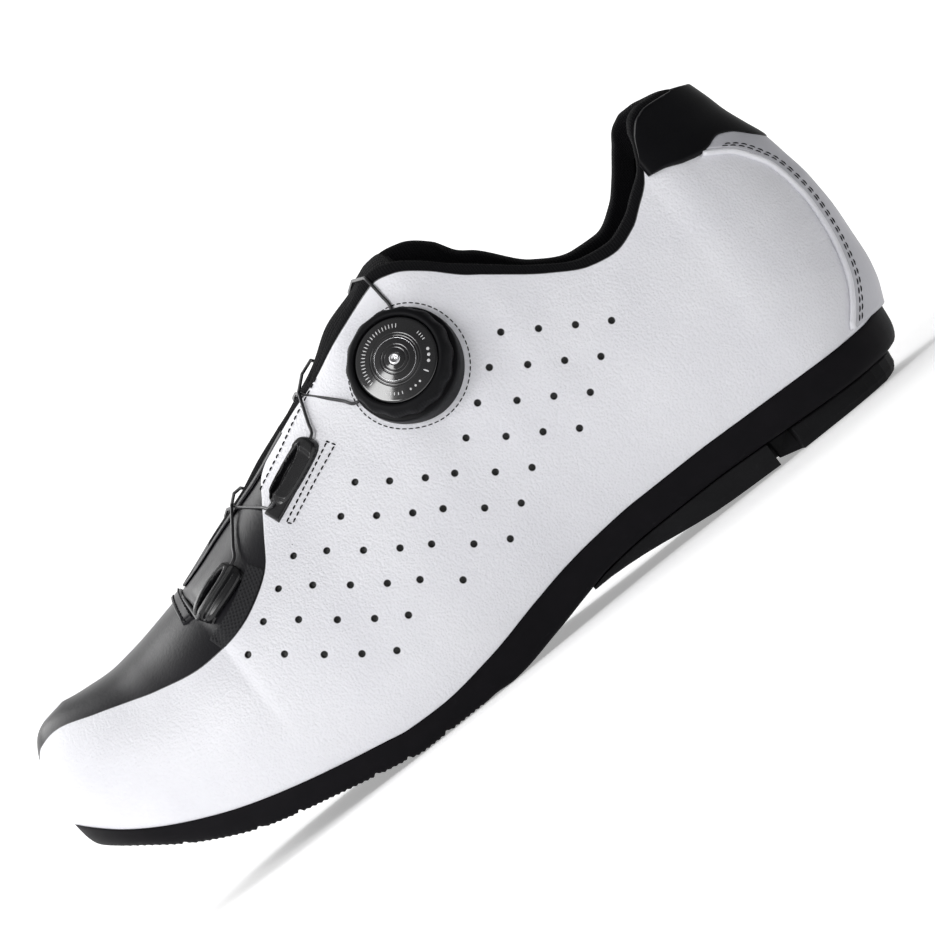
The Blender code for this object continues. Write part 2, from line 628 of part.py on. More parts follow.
def make_heel_block():
    """The rubber block under the heel: rounded rear, the flat that rests on the floor, sloped nose."""
    rear_inset = HEEL_OVERHANG - (HEEL_BLOCK_LENGTH - HEEL_FLAT_LENGTH)
    front = (HEEL_X + HEEL_FLAT_LENGTH / 2) / LAST_LENGTH
    nose = front + (BLOCK_GAP - 4 * GAP) / LAST_LENGTH
    stations = [(s, 0.0) for s in STATIONS if s < front - 0.004]
    stations += [(front, 0.0), (front + 0.002, 1.0), (nose, 1.0)]

    def low_edge(share):
        rear = np.clip(1 - share * LAST_LENGTH / HEEL_OVERHANG, 0, 1)
        ahead = np.clip((share - front) / (nose - front), 0, 1)
        return ARCH_RISE * (HEEL_CHAMFER * rear + NOSE_RISE * ahead)

    def side_edge(share):
        return low_edge(share) + BEVEL_SHARE * (under_height(share) - GAP - low_edge(share))

    rings = []
    for share, in_nose in stations:
        fade = float(np.clip(1 - share / front, 0, 1)) ** 0.5
        inset = BLOCK_INSET + (rear_inset - BLOCK_INSET) * fade + NOSE_INSET * in_nose
        insets = (inset, inset + BEVEL_SHARE * BLOCK_BEVEL, inset + BLOCK_BEVEL)
        rings.append(level_ring(share, insets, (lambda s: under_height(s) - GAP, side_edge, low_edge)))
    return loft("heel_block", rings, BLOCK_BLACK, 0.6)


def make_midfoot_block():
    """The wedge of rubber under the arch, thickest where it faces the heel block."""
    rear_x = -HEEL_FLAT_LENGTH / 2 - BLOCK_GAP
    rings = []
    places = np.linspace(0, 1, 12)
    for place in places:
        x = rear_x - MIDFOOT_BLOCK_LENGTH * (1 - place)
        share = float(share_at(x))
        bottom_z = ARCH_RISE * float(smooth(MIDFOOT_COLUMNS, MIDFOOT_BOTTOM, "bottom", place))
        top = lambda s: under_height(s) - GAP
        bottom = lambda s, z=bottom_z: min(z, float(under_height(s)) - GAP - THINNEST_BLOCK)
        side = lambda s, z=bottom_z: bottom(s, z) + BEVEL_SHARE * (float(under_height(s)) - GAP - bottom(s, z))
        insets = (BLOCK_INSET, BLOCK_INSET + BEVEL_SHARE * BLOCK_BEVEL, BLOCK_INSET + BLOCK_BEVEL)
        rings.append(level_ring(share, insets, (top, side, bottom)))
    return loft("midfoot_block", rings, BLOCK_BLACK, 0.6)


def wall_sheet(name, q, k, lift, thickness, colour, roughness):
    """An overlay cut from the upper's own form: a sheet over the grid (q, k)."""
    normal = last_normal(q, k)
    base = last_point(q, k)
    inner = base + normal * lift
    outer = base + normal * (lift + thickness)[..., None]
    return sheet(name, inner, outer, colour, roughness)


def counter_half(level):
    """q of the counter's front edge on the medial side, at a height given as a share of the top."""
    reach = HEEL_WIDTH * smooth(COUNTER_COLUMNS, COUNTER_EDGE, "front", level)
    target = HEEL_X - reach
    low, high = np.full_like(level, 0.02), np.full_like(level, 0.45)
    for _ in range(30):
        middle = (low + high) / 2
        x = last_point(-middle, level_row(-middle, level * TOP_HEIGHT))[..., 0]
        low = np.where(x > target, middle, low)
        high = np.where(x > target, high, middle)
    return (low + high) / 2


def patch_lower(q):
    """Height of the heel patch's lower edge."""
    return TOP_HEIGHT * smooth(PATCH_COLUMNS, PATCH_EDGE, "lower", along(q))


def make_counter():
    """The rear panel: its front edge carries a raised piping, its top stops below the patch."""
    rows, columns = 13, 19
    first = (float(feather_height(0.0)) + COUNTER_FOOT) / TOP_HEIGHT
    v = np.linspace(0, 1, rows)[:, None]
    u = np.concatenate([[-1, -0.93, -0.86], np.linspace(-0.74, 0.74, columns - 6), [0.86, 0.93, 1]])[None, :]
    level_guess = first + (0.70 - first) * v[:, 0]
    half = counter_half(level_guess)
    q = half[:, None] * u
    ceiling = patch_lower(q) - COUNTER_HEAD_GAP
    z = first * TOP_HEIGHT + (ceiling - first * TOP_HEIGHT) * v
    k = level_row(q, z)
    piping = np.where((np.abs(u) > 0.9) & (np.abs(u) < 0.96), PIPING_RISE, 0.0)
    thickness = COUNTER_THICKNESS + np.broadcast_to(piping, q.shape)
    return wall_sheet("heel_counter", q, k, PANEL_STEP + SHEET_GAP, thickness, WHITE, 0.5)


def make_patch():
    """The smooth patch that caps the heel, from its waved lower edge to the topline."""
    rows, columns = 6, 27
    reach = around(np.array([PATCH_EDGE[-1][0]]))[0]
    q = np.broadcast_to(np.linspace(-reach, reach, columns)[None, :], (rows, columns))
    v = np.linspace(0, 1, rows)[:, None]
    low = np.minimum(level_row(q[0], patch_lower(q[0])), 0.9)
    k = low[None, :] + (HIGHEST_K - low[None, :]) * v
    thickness = np.full(q.shape, PATCH_THICKNESS)
    return wall_sheet("heel_patch", q, k, PANEL_STEP + SHEET_GAP, thickness, BLACK_LEATHER, 0.35)


def make_tongue():
    """The padded tongue: it lies under the throat's edges and arches up between them."""
    shares = np.linspace(TONGUE_CREST[0][0], TONGUE_END, 19)
    across = np.linspace(-1, 1, 15)
    q = np.sign(across + 1e-9)[None, :] * around(shares)[:, None]
    size = np.broadcast_to(np.abs(across)[None, :], q.shape)
    hidden = np.clip((size - TONGUE_OPEN) / (1 - TONGUE_OPEN), 0, 1)
    k = 0.995 - 0.20 * hidden
    dive = TONGUE_DIVE * np.clip((shares - THROAT_END + 0.05) / 0.04, 0, 1)[:, None]
    clear = wall_thickness(q, k) + GAP + TONGUE_SLACK + dive
    top = last_point(q, k) - last_normal(q, k) * clear[..., None]
    inside = np.clip(size / TONGUE_OPEN, 0, 1)
    middle = np.broadcast_to(centre_line(shares)[:, None], q.shape)
    top[..., 1] = middle + (top[..., 1] - middle) * inside
    crest = TOP_HEIGHT * smooth(TONGUE_COLUMNS, TONGUE_CREST, "crest", shares)[:, None]
    open_part = np.clip((THROAT_END - 0.02 - shares) / 0.03, 0, 1)[:, None]
    top[..., 2] += np.maximum(crest - top[..., 2], 0) * open_part * (1 - inside ** 2) ** 2
    normal = np.cross(np.gradient(top, axis=1), np.gradient(top, axis=0))
    normal /= np.linalg.norm(normal, axis=-1, keepdims=True)
    normal *= np.sign(normal[..., 2:3] + 1e-9)
    thin = 1 - 0.5 * size[..., None] ** 4
    under = top - normal * TONGUE_THICKNESS * thin
    return sheet("tongue", under, top, BLACK_KNIT, 0.9)


def surface_tree(*pieces):
    """Ray tree of the pieces' meshes, for what sits on them or runs over them."""
    vertices, faces = [], []
    for piece in pieces:
        start = len(vertices)
        vertices += [v.co.copy() for v in piece.data.vertices]
        faces += [[start + i for i in polygon.vertices] for polygon in piece.data.polygons]
    return BVHTree.FromPolygons(vertices, faces)


def place_on_upper(share, level, side, tilt):
    """Spot on the upper with its outward normal, the guide's long axis and its cross axis."""
    q = side * float(around(share))
    k = float(level_row(np.array([q]), np.array([level * TOP_HEIGHT]))[0])
    spot, normal = Vector(last_point(q, k)), Vector(last_normal(q, k))
    run = Vector((math.cos(tilt), 0.0, math.sin(tilt)))
    run = (run - normal * run.dot(normal)).normalized()
    return spot, normal, run, normal.cross(run).normalized()


def drop_onto(tree, point, direction):
    """Where a ray that starts above the point first meets the surface."""
    hit = tree.ray_cast(point - direction * SEAT_REACH, direction, 2 * SEAT_REACH)
    return hit[0] if hit[0] is not None else point


def make_guide(name, tree, place, length, width, height, slot):
    """A moulded guide: its underside follows the upper, its rounded top has one long sunk slot."""
    spot, normal, run, cross = place
    steps = np.array([-1, -0.93, -0.72, -0.64, -0.3, 0, 0.3, 0.64, 0.72, 0.93, 1])
    sides = np.array([-1, -0.88, -0.44, -0.32, 0.32, 0.44, 0.88, 1])
    inner = np.zeros((len(steps), len(sides), 3))
    outer = inner.copy()
    for i, a in enumerate(steps):
        for j, b in enumerate(sides):
            spread = run * (a * length / 2) * (1 - 0.10 * b * b) + cross * (b * width / 2) * (1 - 0.15 * a * a)
            under = drop_onto(tree, spot + spread, -normal) + normal * GUIDE_SEAT_GAP
            round_edge = (1 - 0.5 * abs(a) ** 8) * (1 - 0.5 * abs(b) ** 8)
            sunk = slot if abs(a) < 0.66 and abs(b) < 0.34 else 0.0
            inner[i, j] = under
            outer[i, j] = under + normal * (height * round_edge - sunk)
    return sheet(name, inner, outer, PLASTIC_BLACK, 0.4)


def dial_place():
    """Centre of the dial on the upper and its axes: it leans up and a little towards the toe."""
    spot = place_on_upper(DIAL_ALONG, DIAL_UP, -1.0, 0.0)[0]
    level = math.cos(DIAL_UP_TURN)
    axis = Vector((-math.sin(DIAL_TOE_TURN) * level, -math.cos(DIAL_TOE_TURN) * level, math.sin(DIAL_UP_TURN)))
    up = (Vector((0, 0, 1)) - axis * axis.z).normalized()
    return spot, axis, up.cross(axis), up


def polar_ring(place, radius, height, sides=DIAL_SIDES, ripple=0.0):
    """Points of a circle round the dial's axis, rippled in and out between neighbours."""
    spot, axis, across, up = place
    ring = []
    for n in range(sides):
        turn = 2 * math.pi * n / sides
        reach = radius + ripple * (1 if n % 2 else -1)
        ring.append(spot + axis * height + (across * math.cos(turn) + up * math.sin(turn)) * reach)
    return ring


def seated_ring(tree, place, radius, sides=DIAL_SIDES):
    """Points of a circle round the dial's axis, dropped onto the upper."""
    axis = place[1]
    return [drop_onto(tree, p, -axis) + axis * SEAT_GAP for p in polar_ring(place, radius, 0.0, sides)]


def make_dial(tree):
    """Base that follows the upper, ribbed grip ring round its hub, and the cap."""
    place = dial_place()
    spot, axis = place[0], place[1]
    base_radius = DIAL_RADIUS + BASE_FLANGE
    under = [seated_ring(tree, place, base_radius * r) for r in SEAT_RINGS]
    highest = max((p - spot).dot(axis) for ring in under for p in ring)
    deck = max(BASE_HEIGHT, highest + BASE_RIM)
    hub_top = DIAL_HEIGHT - CAP_HEIGHT - GAP
    rings = under + [polar_ring(place, base_radius, deck), polar_ring(place, HUB_RADIUS, deck),
                     polar_ring(place, HUB_RADIUS, hub_top)]
    loft("dial_base", [np.array(r) for r in rings], PLASTIC_BLACK, 0.45)
    bore = HUB_RADIUS + GAP
    foot, head = deck + GAP, DIAL_HEIGHT - 0.25 * CAP_HEIGHT
    grip = [(bore, foot, 0.0)]
    grip += [(radius * DIAL_RADIUS, foot + share * (head - foot), GRIP_RIB * ribbed)
             for radius, share, ribbed in GRIP_PROFILE]
    grip += [(bore, head, 0.0)]
    rings = [np.array(polar_ring(place, r, h, GRIP_SIDES, ripple)) for r, h, ripple in grip]
    loft("dial_grip", rings + rings[:1], PLASTIC_BLACK, 0.5, closed_ends=False)
    cap = [(HUB_RADIUS, hub_top + GAP)]
    cap += [(radius * HUB_RADIUS, DIAL_HEIGHT - drop * CAP_HEIGHT) for radius, drop in CAP_PROFILE]
    loft("dial_cap", [np.array(polar_ring(place, r, h)) for r, h in cap], PLASTIC_BLACK, 0.2)
    return place, deck


def tube_mesh(name, points, radius, sides=6):
    """A lace strand: a capped tube along points."""
    rings = []
    for i, p in enumerate(points):
        ahead = (points[min(i + 1, len(points) - 1)] - points[max(i - 1, 0)]).normalized()
        side = ahead.cross(Vector((0, 0, 1))).normalized()
        up = side.cross(ahead)
        rings.append(np.array([p + (side * math.cos(turn) + up * math.sin(turn)) * radius
                               for turn in (2 * math.pi * n / sides for n in range(sides))]))
    return loft(name, rings, LACE_GREY, 0.5)


def lowest_clear(tree, x, y, clearance):
    """Lowest height over (x, y) from which a point keeps the clearance to the pieces below it."""
    hit = tree.ray_cast(Vector((x, y, 2 * TOP_HEIGHT)), Vector((0, 0, -1)))
    z = hit[0].z + clearance if hit[0] is not None else 0.0
    for _ in range(60):
        if tree.find_nearest(Vector((x, y, z)))[3] >= clearance:
            break
        z += CLEAR_STEP
    return z


def taut_points(tree, start, end, count=57):
    """A lace pulled tight from start to end over what lies between: straight where it is free."""
    points = [start.lerp(end, i / (count - 1)) for i in range(count)]
    clearance = LACE_RADIUS + GAP + LACE_SLACK
    floor = [lowest_clear(tree, p.x, p.y, clearance) for p in points]
    heights = [p.z for p in points]
    heights[0], heights[-1] = max(heights[0], floor[0]), max(heights[-1], floor[-1])
    for _ in range(3000):
        for i in range(1, count - 1):
            heights[i] = max(floor[i], (heights[i - 1] + heights[i + 1]) / 2)
    path = [Vector((p.x, p.y, h)) for p, h in zip(points, heights)]
    kept = [path[0]]
    anchor = 0
    for i in range(2, count):
        chord = path[i] - path[anchor]
        bow = max((path[j] - path[anchor]).cross(chord).length / chord.length for j in range(anchor + 1, i))
        if bow > LACE_FIT:
            kept.append(path[i - 1])
            anchor = i - 1
    return kept + [path[-1]]


def guide_end(place, length, end):
    """Point just outside a guide's end, where the lace leaves it."""
    spot, normal, run, _ = place
    return spot + run * end * (length / 2 + LACE_RADIUS + GAP) + normal * LACE_LEAD


def dial_exit(dial, deck, upward, toeward):
    """Point just outside the dial's rim, where the lace leaves the base."""
    spot, axis, across, up = dial
    rim = DIAL_RADIUS + BASE_FLANGE + LACE_RADIUS + GAP
    toe_way = across if across.x < 0 else -across
    return spot + axis * (0.5 * deck + LACE_LEAD) + (up * upward + toe_way * toeward) * rim


def make_laces(tree, places, dial, deck):
    """The stretches of lace that show: from dial to guide, two crossings and the bar at the front."""
    dial_top = dial_exit(dial, deck, *DIAL_TOP_EXIT)
    dial_toe = dial_exit(dial, deck, *DIAL_TOE_EXIT)
    heel_end, toe_end = 1.0, -1.0
    guide = {name: {end: guide_end(place, length, end) for end in (heel_end, toe_end)}
             for name, (place, length) in places.items()}
    tube_mesh("lace_dial_run", taut_points(tree, dial_top, guide["guide_medial_top"][heel_end]), LACE_RADIUS)
    tube_mesh("lace_front_bar", taut_points(tree, guide["guide_lateral_lower"][toe_end],
                                            guide["guide_medial_lower"][toe_end]), LACE_RADIUS)
    crossings = (
        ("lace_cross_upper", (dial_toe, guide["guide_medial_upper"][heel_end]),
         (guide["guide_lateral_upper"][heel_end], guide["guide_medial_top"][toe_end])),
        ("lace_cross_lower", (guide["guide_lateral_upper"][toe_end], guide["guide_medial_lower"][heel_end]),
         (guide["guide_lateral_lower"][heel_end], guide["guide_medial_upper"][toe_end])),
    )
    for name, one, other in crossings:
        lower = tube_mesh(name, taut_points(tree, *one), LACE_RADIUS)
        upper_strand = tube_mesh(name + "_over", taut_points(tree, *other), LACE_RADIUS)
        upper_strand.location.z = CROSSING_STEP
        upper_strand.hide_render = True
        upper_strand.display_type = "WIRE"
        join = lower.modifiers.new("joined_strand", "BOOLEAN")
        join.operation = "UNION"
        join.object = upper_strand


def make_guides(tree):
    """The five guides: two on the lateral side and three on the medial side."""
    places = {}
    for side_name, side in (("lateral", -1.0), ("medial", 1.0)):
        for level_name, (share, level, tilt, length, width, height) in GUIDES.items():
            if (side_name, level_name) == ("lateral", "top"):
                continue
            name = f"guide_{side_name}_{level_name}"
            place = place_on_upper(share, level, side, tilt)
            make_guide(name, tree, place, length, width, height, GUIDE_SLOT)
            places[name] = (place, length)
    return places


for old in list(bpy.data.objects):
    bpy.data.objects.remove(old, do_unlink=True)

upper = make_upper()
make_outsole()
make_insole()
make_heel_block()
make_midfoot_block()
make_counter()
make_patch()
tongue = make_tongue()
guide_places = make_guides(surface_tree(upper))
dial_axes, dial_deck = make_dial(surface_tree(upper))
make_laces(surface_tree(upper, tongue), guide_places, dial_axes, dial_deck)
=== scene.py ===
# %% [markdown]
# # A cycling shoe for the left foot, in cells
# The shoe is a hollow upper of white synthetic leather on a sprung rubber sole. A turning dial winds one
# steel lace that runs through five guides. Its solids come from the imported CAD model, which stays fixed.
# This notebook dresses them: each cell makes one piece or one finish, as a real maker would add it.
# The toe points along -X, the outer side faces -Y and Z is up. All sizes are in metres.

# %% The frame
import math

import bpy
import bmesh
import numpy as np
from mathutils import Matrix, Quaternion, Vector
from mathutils.bvhtree import BVHTree


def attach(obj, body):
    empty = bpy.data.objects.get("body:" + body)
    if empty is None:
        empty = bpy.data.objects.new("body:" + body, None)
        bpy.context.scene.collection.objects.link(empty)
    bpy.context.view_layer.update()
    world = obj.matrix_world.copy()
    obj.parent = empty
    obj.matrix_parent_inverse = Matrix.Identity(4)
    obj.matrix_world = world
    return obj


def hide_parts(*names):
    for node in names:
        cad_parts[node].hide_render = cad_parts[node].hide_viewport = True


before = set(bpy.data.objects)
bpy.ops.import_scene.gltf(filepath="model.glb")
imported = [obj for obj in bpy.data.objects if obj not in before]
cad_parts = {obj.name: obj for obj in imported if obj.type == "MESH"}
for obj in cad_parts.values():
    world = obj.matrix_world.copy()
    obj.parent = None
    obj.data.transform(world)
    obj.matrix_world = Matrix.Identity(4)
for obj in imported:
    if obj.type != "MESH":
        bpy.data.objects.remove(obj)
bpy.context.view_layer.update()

MM = 0.001

# %% [markdown]
# ## The last
# A shoemaker pulls the upper over a last, the wooden or plastic form of the foot. Everything sewn on the
# upper follows that form, so it is written once as a function. The share of the length goes from 0 at the
# heel to 1 at the toe tip. Tables give widths and heights at some shares, and a cubic runs through them.
# The tables are the ones the CAD source uses, so the new surfaces land where the solids are.

# %% Sizes and tables of the last
SHOE_LENGTH, BALL_WIDTH, HEEL_WIDTH, TOP_HEIGHT = 286.5 * MM, 96.0 * MM, 63.0 * MM, 120.2 * MM
HEEL_BULGE, TOE_BULGE, TOE_SETBACK = 6.0 * MM, 1.6 * MM, 18.0 * MM
HEEL_ROUND, TOE_ROUND = 31.0 * MM, 70.0 * MM
BALL_STACK, HEEL_STACK, TOE_HEIGHT = 8.0 * MM, 19.1 * MM, 43.3 * MM
ARCH_RISE, TOE_CLEARANCE = 9.2 * MM, 35.3 * MM
SOLE_LIP, SOLE_TUCK, HEEL_TUCK, GAP = 1.2 * MM, 2.4 * MM, 4.0 * MM, 0.3 * MM
WALL, COLLAR_PAD, PANEL_STEP = 2.2 * MM, 3.0 * MM, 0.8 * MM
COUNTER_THICKNESS, SHEET_GAP, PATCH_THICKNESS = 1.1 * MM, 0.4 * MM, 1.2 * MM
HEEL_FADE, TOE_FADE, THROAT_END = 0.16, 0.13, 0.762
LAST_LENGTH = SHOE_LENGTH - HEEL_BULGE - TOE_BULGE - 2 * PANEL_STEP - COUNTER_THICKNESS - SHEET_GAP
HEEL_X = 27.0 * MM

SECTION_COLUMNS = ("along", "heel_lift", "toe_lift", "heel_under", "toe_under", "spread", "swing")
SECTIONS = (
    (0.000, 0.97, 0.000, 0.79, 0.000, 0.00, 0.000), (0.030, 0.86, 0.000, 0.70, 0.000, 0.00, 0.000),
    (0.055, 0.85, 0.000, 0.69, 0.000, 0.00, 0.000), (0.115, 0.89, 0.000, 0.76, 0.000, 0.00, -0.005),
    (0.185, 0.95, 0.000, 0.89, 0.000, 0.02, -0.010), (0.255, 1.00, 0.000, 0.99, 0.000, 0.03, -0.018),
    (0.330, 1.00, 0.000, 1.00, 0.000, 0.06, -0.028), (0.390, 0.91, 0.000, 0.90, 0.000, 0.16, -0.034),
    (0.430, 0.79, 0.000, 0.66, 0.000, 0.28, -0.034), (0.475, 0.58, 0.000, 0.36, 0.000, 0.46, -0.030),
    (0.550, 0.19, 0.000, 0.00, 0.000, 0.74, -0.022), (0.620, 0.00, 0.000, 0.00, 0.000, 0.92, -0.010),
    (0.660, 0.00, 0.010, 0.00, 0.000, 0.98, -0.004), (0.690, 0.00, 0.051, 0.00, 0.040, 1.00, 0.002),
    (0.760, 0.00, 0.160, 0.00, 0.153, 0.98, 0.014), (0.840, 0.00, 0.323, 0.00, 0.303, 0.94, 0.028),
    (0.910, 0.00, 0.538, 0.00, 0.541, 0.88, 0.038), (0.960, 0.00, 0.756, 0.00, 0.790, 0.84, 0.045),
    (1.000, 0.00, 1.000, 0.00, 1.000, 0.80, 0.052),
)
TOPLINE_COLUMNS = ("along", "lateral", "medial", "half_open", "edge")
TOPLINE = (
    (0.000, 0.860, 0.860, 0.38, 0.835), (0.020, 0.877, 0.877, 0.38, 0.850),
    (0.040, 0.883, 0.884, 0.38, 0.857), (0.060, 0.886, 0.890, 0.38, 0.857),
    (0.075, 0.878, 0.890, 0.39, 0.845), (0.090, 0.851, 0.880, 0.40, 0.823),
    (0.102, 0.803, 0.864, 0.41, 0.779), (0.115, 0.760, 0.832, 0.42, 0.737),
    (0.135, 0.727, 0.777, 0.44, 0.701), (0.155, 0.696, 0.730, 0.46, 0.669),
    (0.185, 0.674, 0.695, 0.48, 0.649), (0.215, 0.683, 0.699, 0.49, 0.661),
    (0.255, 0.734, 0.745, 0.49, 0.711), (0.295, 0.807, 0.846, 0.48, 0.779),
    (0.310, 0.836, 0.874, 0.475, 0.806), (0.325, 0.864, 0.926, 0.465, 0.832),
    (0.355, 0.926, 0.975, 0.44, 0.898), (0.380, 0.962, 0.986, 0.41, 0.937),
    (0.400, 0.973, 0.985, 0.37, 0.948), (0.415, 0.966, 0.976, 0.335, 0.940),
    (0.430, 0.950, 0.957, 0.305, 0.928), (0.475, 0.908, 0.914, 0.25, 0.889),
    (0.515, 0.862, 0.870, 0.205, 0.847), (0.550, 0.828, 0.836, 0.18, 0.822),
    (0.585, 0.795, 0.802, 0.16, 0.790), (0.620, 0.761, 0.767, 0.145, 0.745),
    (0.635, 0.748, 0.753, 0.14, 0.700), (0.655, 0.733, 0.737, 0.132, 0.635),
    (0.675, 0.718, 0.722, 0.125, 0.572), (0.700, 0.698, 0.702, 0.115, 0.531),
    (0.730, 0.672, 0.675, 0.100, 0.499), (0.750, 0.657, 0.658, 0.065, 0.487),
    (0.762, 0.649, 0.649, 0.000, 0.483), (0.790, 0.634, 0.634, 0.000, 0.479),
    (0.845, 0.610, 0.610, 0.000, 0.499), (0.875, 0.603, 0.603, 0.000, 0.518),
    (0.910, 0.608, 0.608, 0.000, 0.541), (0.965, 0.616, 0.616, 0.000, 0.569),
    (0.990, 0.617, 0.617, 0.000, 0.557), (0.996, 0.617, 0.617, 0.000, 0.533),
    (1.000, 0.617, 0.617, 0.000, 0.483),
)
WALL_COLUMNS = ("along", "bulge", "rise", "shoulder", "drop")
WALL_FORM = (
    (0.000, 0.060, 0.38, 0.030, 0.34), (0.115, 0.060, 0.38, 0.045, 0.34), (0.255, 0.060, 0.37, 0.050, 0.34),
    (0.330, 0.070, 0.36, 0.085, 0.32), (0.390, 0.080, 0.36, 0.120, 0.29), (0.430, 0.088, 0.36, 0.150, 0.26),
    (0.475, 0.080, 0.38, 0.205, 0.21), (0.550, 0.070, 0.42, 0.250, 0.16), (0.620, 0.062, 0.46, 0.275, 0.12),
    (0.690, 0.060, 0.50, 0.285, 0.07), (0.762, 0.060, 0.52, 0.290, 0.00), (0.840, 0.055, 0.55, 0.255, 0.00),
    (0.910, 0.050, 0.57, 0.235, 0.00), (1.000, 0.040, 0.60, 0.220, 0.00),
)
HEEL_PROFILE_COLUMNS = ("height", "out")
HEEL_PROFILE = (
    (0.15, 0.00), (0.22, 0.57), (0.27, 0.78), (0.33, 0.88), (0.42, 1.00), (0.50, 0.94),
    (0.58, 0.69), (0.64, 0.46), (0.69, 0.07), (0.75, -0.38), (0.80, -0.64), (0.87, -1.08),
)
TOE_PROFILE_COLUMNS = ("height", "back")
TOE_PROFILE = (
    (0.36, 0.00), (0.39, -0.067), (0.43, -0.085), (0.47, -0.035), (0.51, 0.055),
    (0.54, 0.13), (0.565, 0.22), (0.59, 0.36), (0.605, 0.55), (0.617, 1.00),
)
print("last length", round(LAST_LENGTH / MM, 1), "mm")


# %% The form of the last as a function
def smooth(names, table, name, at):
    """A named column of a table at any place: a cubic through the rows that never swings past them.

    Each row's slope is the weighted harmonic mean of the rises before and after it, or nothing at a peak."""
    rows = np.array(table, float)
    x, y = rows[:, 0], rows[:, names.index(name)]
    at = np.clip(np.asarray(at, float), x[0], x[-1])
    step = np.diff(x)
    rise = np.diff(y) / step
    same = rise[:-1] * rise[1:] > 0
    before, after = rise[:-1][same], rise[1:][same]
    heavy, light = (2 * step[1:] + step[:-1])[same], (step[1:] + 2 * step[:-1])[same]
    slope = np.zeros_like(y)
    slope[1:-1][same] = (heavy + light) / (heavy / before + light / after)
    slope[0], slope[-1] = rise[0], rise[-1]
    i = np.clip(np.searchsorted(x, at, side="right") - 1, 0, len(step) - 1)
    u = (at - x[i]) / step[i]
    value = y[i] * (1 + 2 * u) * (1 - u) ** 2 + y[i + 1] * u * u * (3 - 2 * u)
    return value + step[i] * (slope[i] * u * (1 - u) ** 2 - slope[i + 1] * u * u * (1 - u))


def along(q):
    """Share of the length at q: half of one minus the cosine, so that q slows at heel and toe."""
    return (1 - np.cos(math.pi * np.abs(q))) / 2


def around(share):
    """The inverse of along: q on the inner side of the foot."""
    return np.arccos(1 - 2 * np.clip(share, 0, 1)) / math.pi


def quarter_round(t):
    """Height of a quarter circle: 0 at the edge, where t is 0, and 1 where t reaches 1."""
    return np.sqrt(1 - (1 - t) ** 2)


def round_ends(share):
    """Factor that closes the widths: a quarter ellipse at the heel times one at the toe."""
    heel = np.clip(share * LAST_LENGTH / HEEL_ROUND, 0, 1)
    toe = np.clip((1 - share) * LAST_LENGTH / TOE_ROUND, 0, 1)
    return quarter_round(heel) * quarter_round(toe)


# %% Heights and widths along the foot
def feather_inside(share):
    """Ball stack, plus the heel's extra stack and the toe's, each times its share from the table."""
    heel = (HEEL_STACK - BALL_STACK) * smooth(SECTION_COLUMNS, SECTIONS, "heel_lift", share)
    toe = (TOE_HEIGHT - BALL_STACK) * smooth(SECTION_COLUMNS, SECTIONS, "toe_lift", share)
    return BALL_STACK + heel + toe


def under_inside(share):
    """Arch rise and toe clearance, each times its share from the table."""
    heel = ARCH_RISE * smooth(SECTION_COLUMNS, SECTIONS, "heel_under", share)
    return heel + TOE_CLEARANCE * smooth(SECTION_COLUMNS, SECTIONS, "toe_under", share)


def carried_on(height, share, reach=0.002):
    """A height along the foot, carried on past heel and toe along its last slope."""
    inside = np.clip(share, 0, 1)
    near = np.clip(inside, reach, 1 - reach)
    return height(inside) + (height(near + reach) - height(near - reach)) / (2 * reach) * (share - inside)


def feather_height(share):
    """Height of the line where upper and sole meet."""
    return carried_on(feather_inside, share)


def under_height(share):
    """Height of the sole's lower face."""
    return carried_on(under_inside, share)


def half_width(share):
    """Half of the heel width plus the spread towards the ball, closed by the rounded ends."""
    spread = smooth(SECTION_COLUMNS, SECTIONS, "spread", share)
    return (HEEL_WIDTH + (BALL_WIDTH - HEEL_WIDTH) * spread) / 2 * round_ends(share)


def centre_line(share):
    """Sideways place of the middle: the swing of the last times the ball width."""
    return BALL_WIDTH * smooth(SECTION_COLUMNS, SECTIONS, "swing", share)


def top_height(q):
    """Height of the topline on either side, or of the vamp's ridge in front of the throat."""
    share = along(q)
    outer = smooth(TOPLINE_COLUMNS, TOPLINE, "lateral", share)
    inner = smooth(TOPLINE_COLUMNS, TOPLINE, "medial", share)
    return TOP_HEIGHT * np.where(np.asarray(q) < 0, outer, inner)


def end_shift(share, z):
    """How far a point moves along X for the rounded heel and the rounded toe, fading within each end."""
    level = z / TOP_HEIGHT
    heel = HEEL_BULGE * smooth(HEEL_PROFILE_COLUMNS, HEEL_PROFILE, "out", level)
    toe = TOE_SETBACK * smooth(TOE_PROFILE_COLUMNS, TOE_PROFILE, "back", level)
    return (heel * np.clip(1 - share / HEEL_FADE, 0, 1) ** 2
            + toe * np.clip(1 - (1 - share) / TOE_FADE, 0, 1) ** 2)

print("feather line", round(float(feather_height(0.0)) / MM, 1), "mm up at the heel")


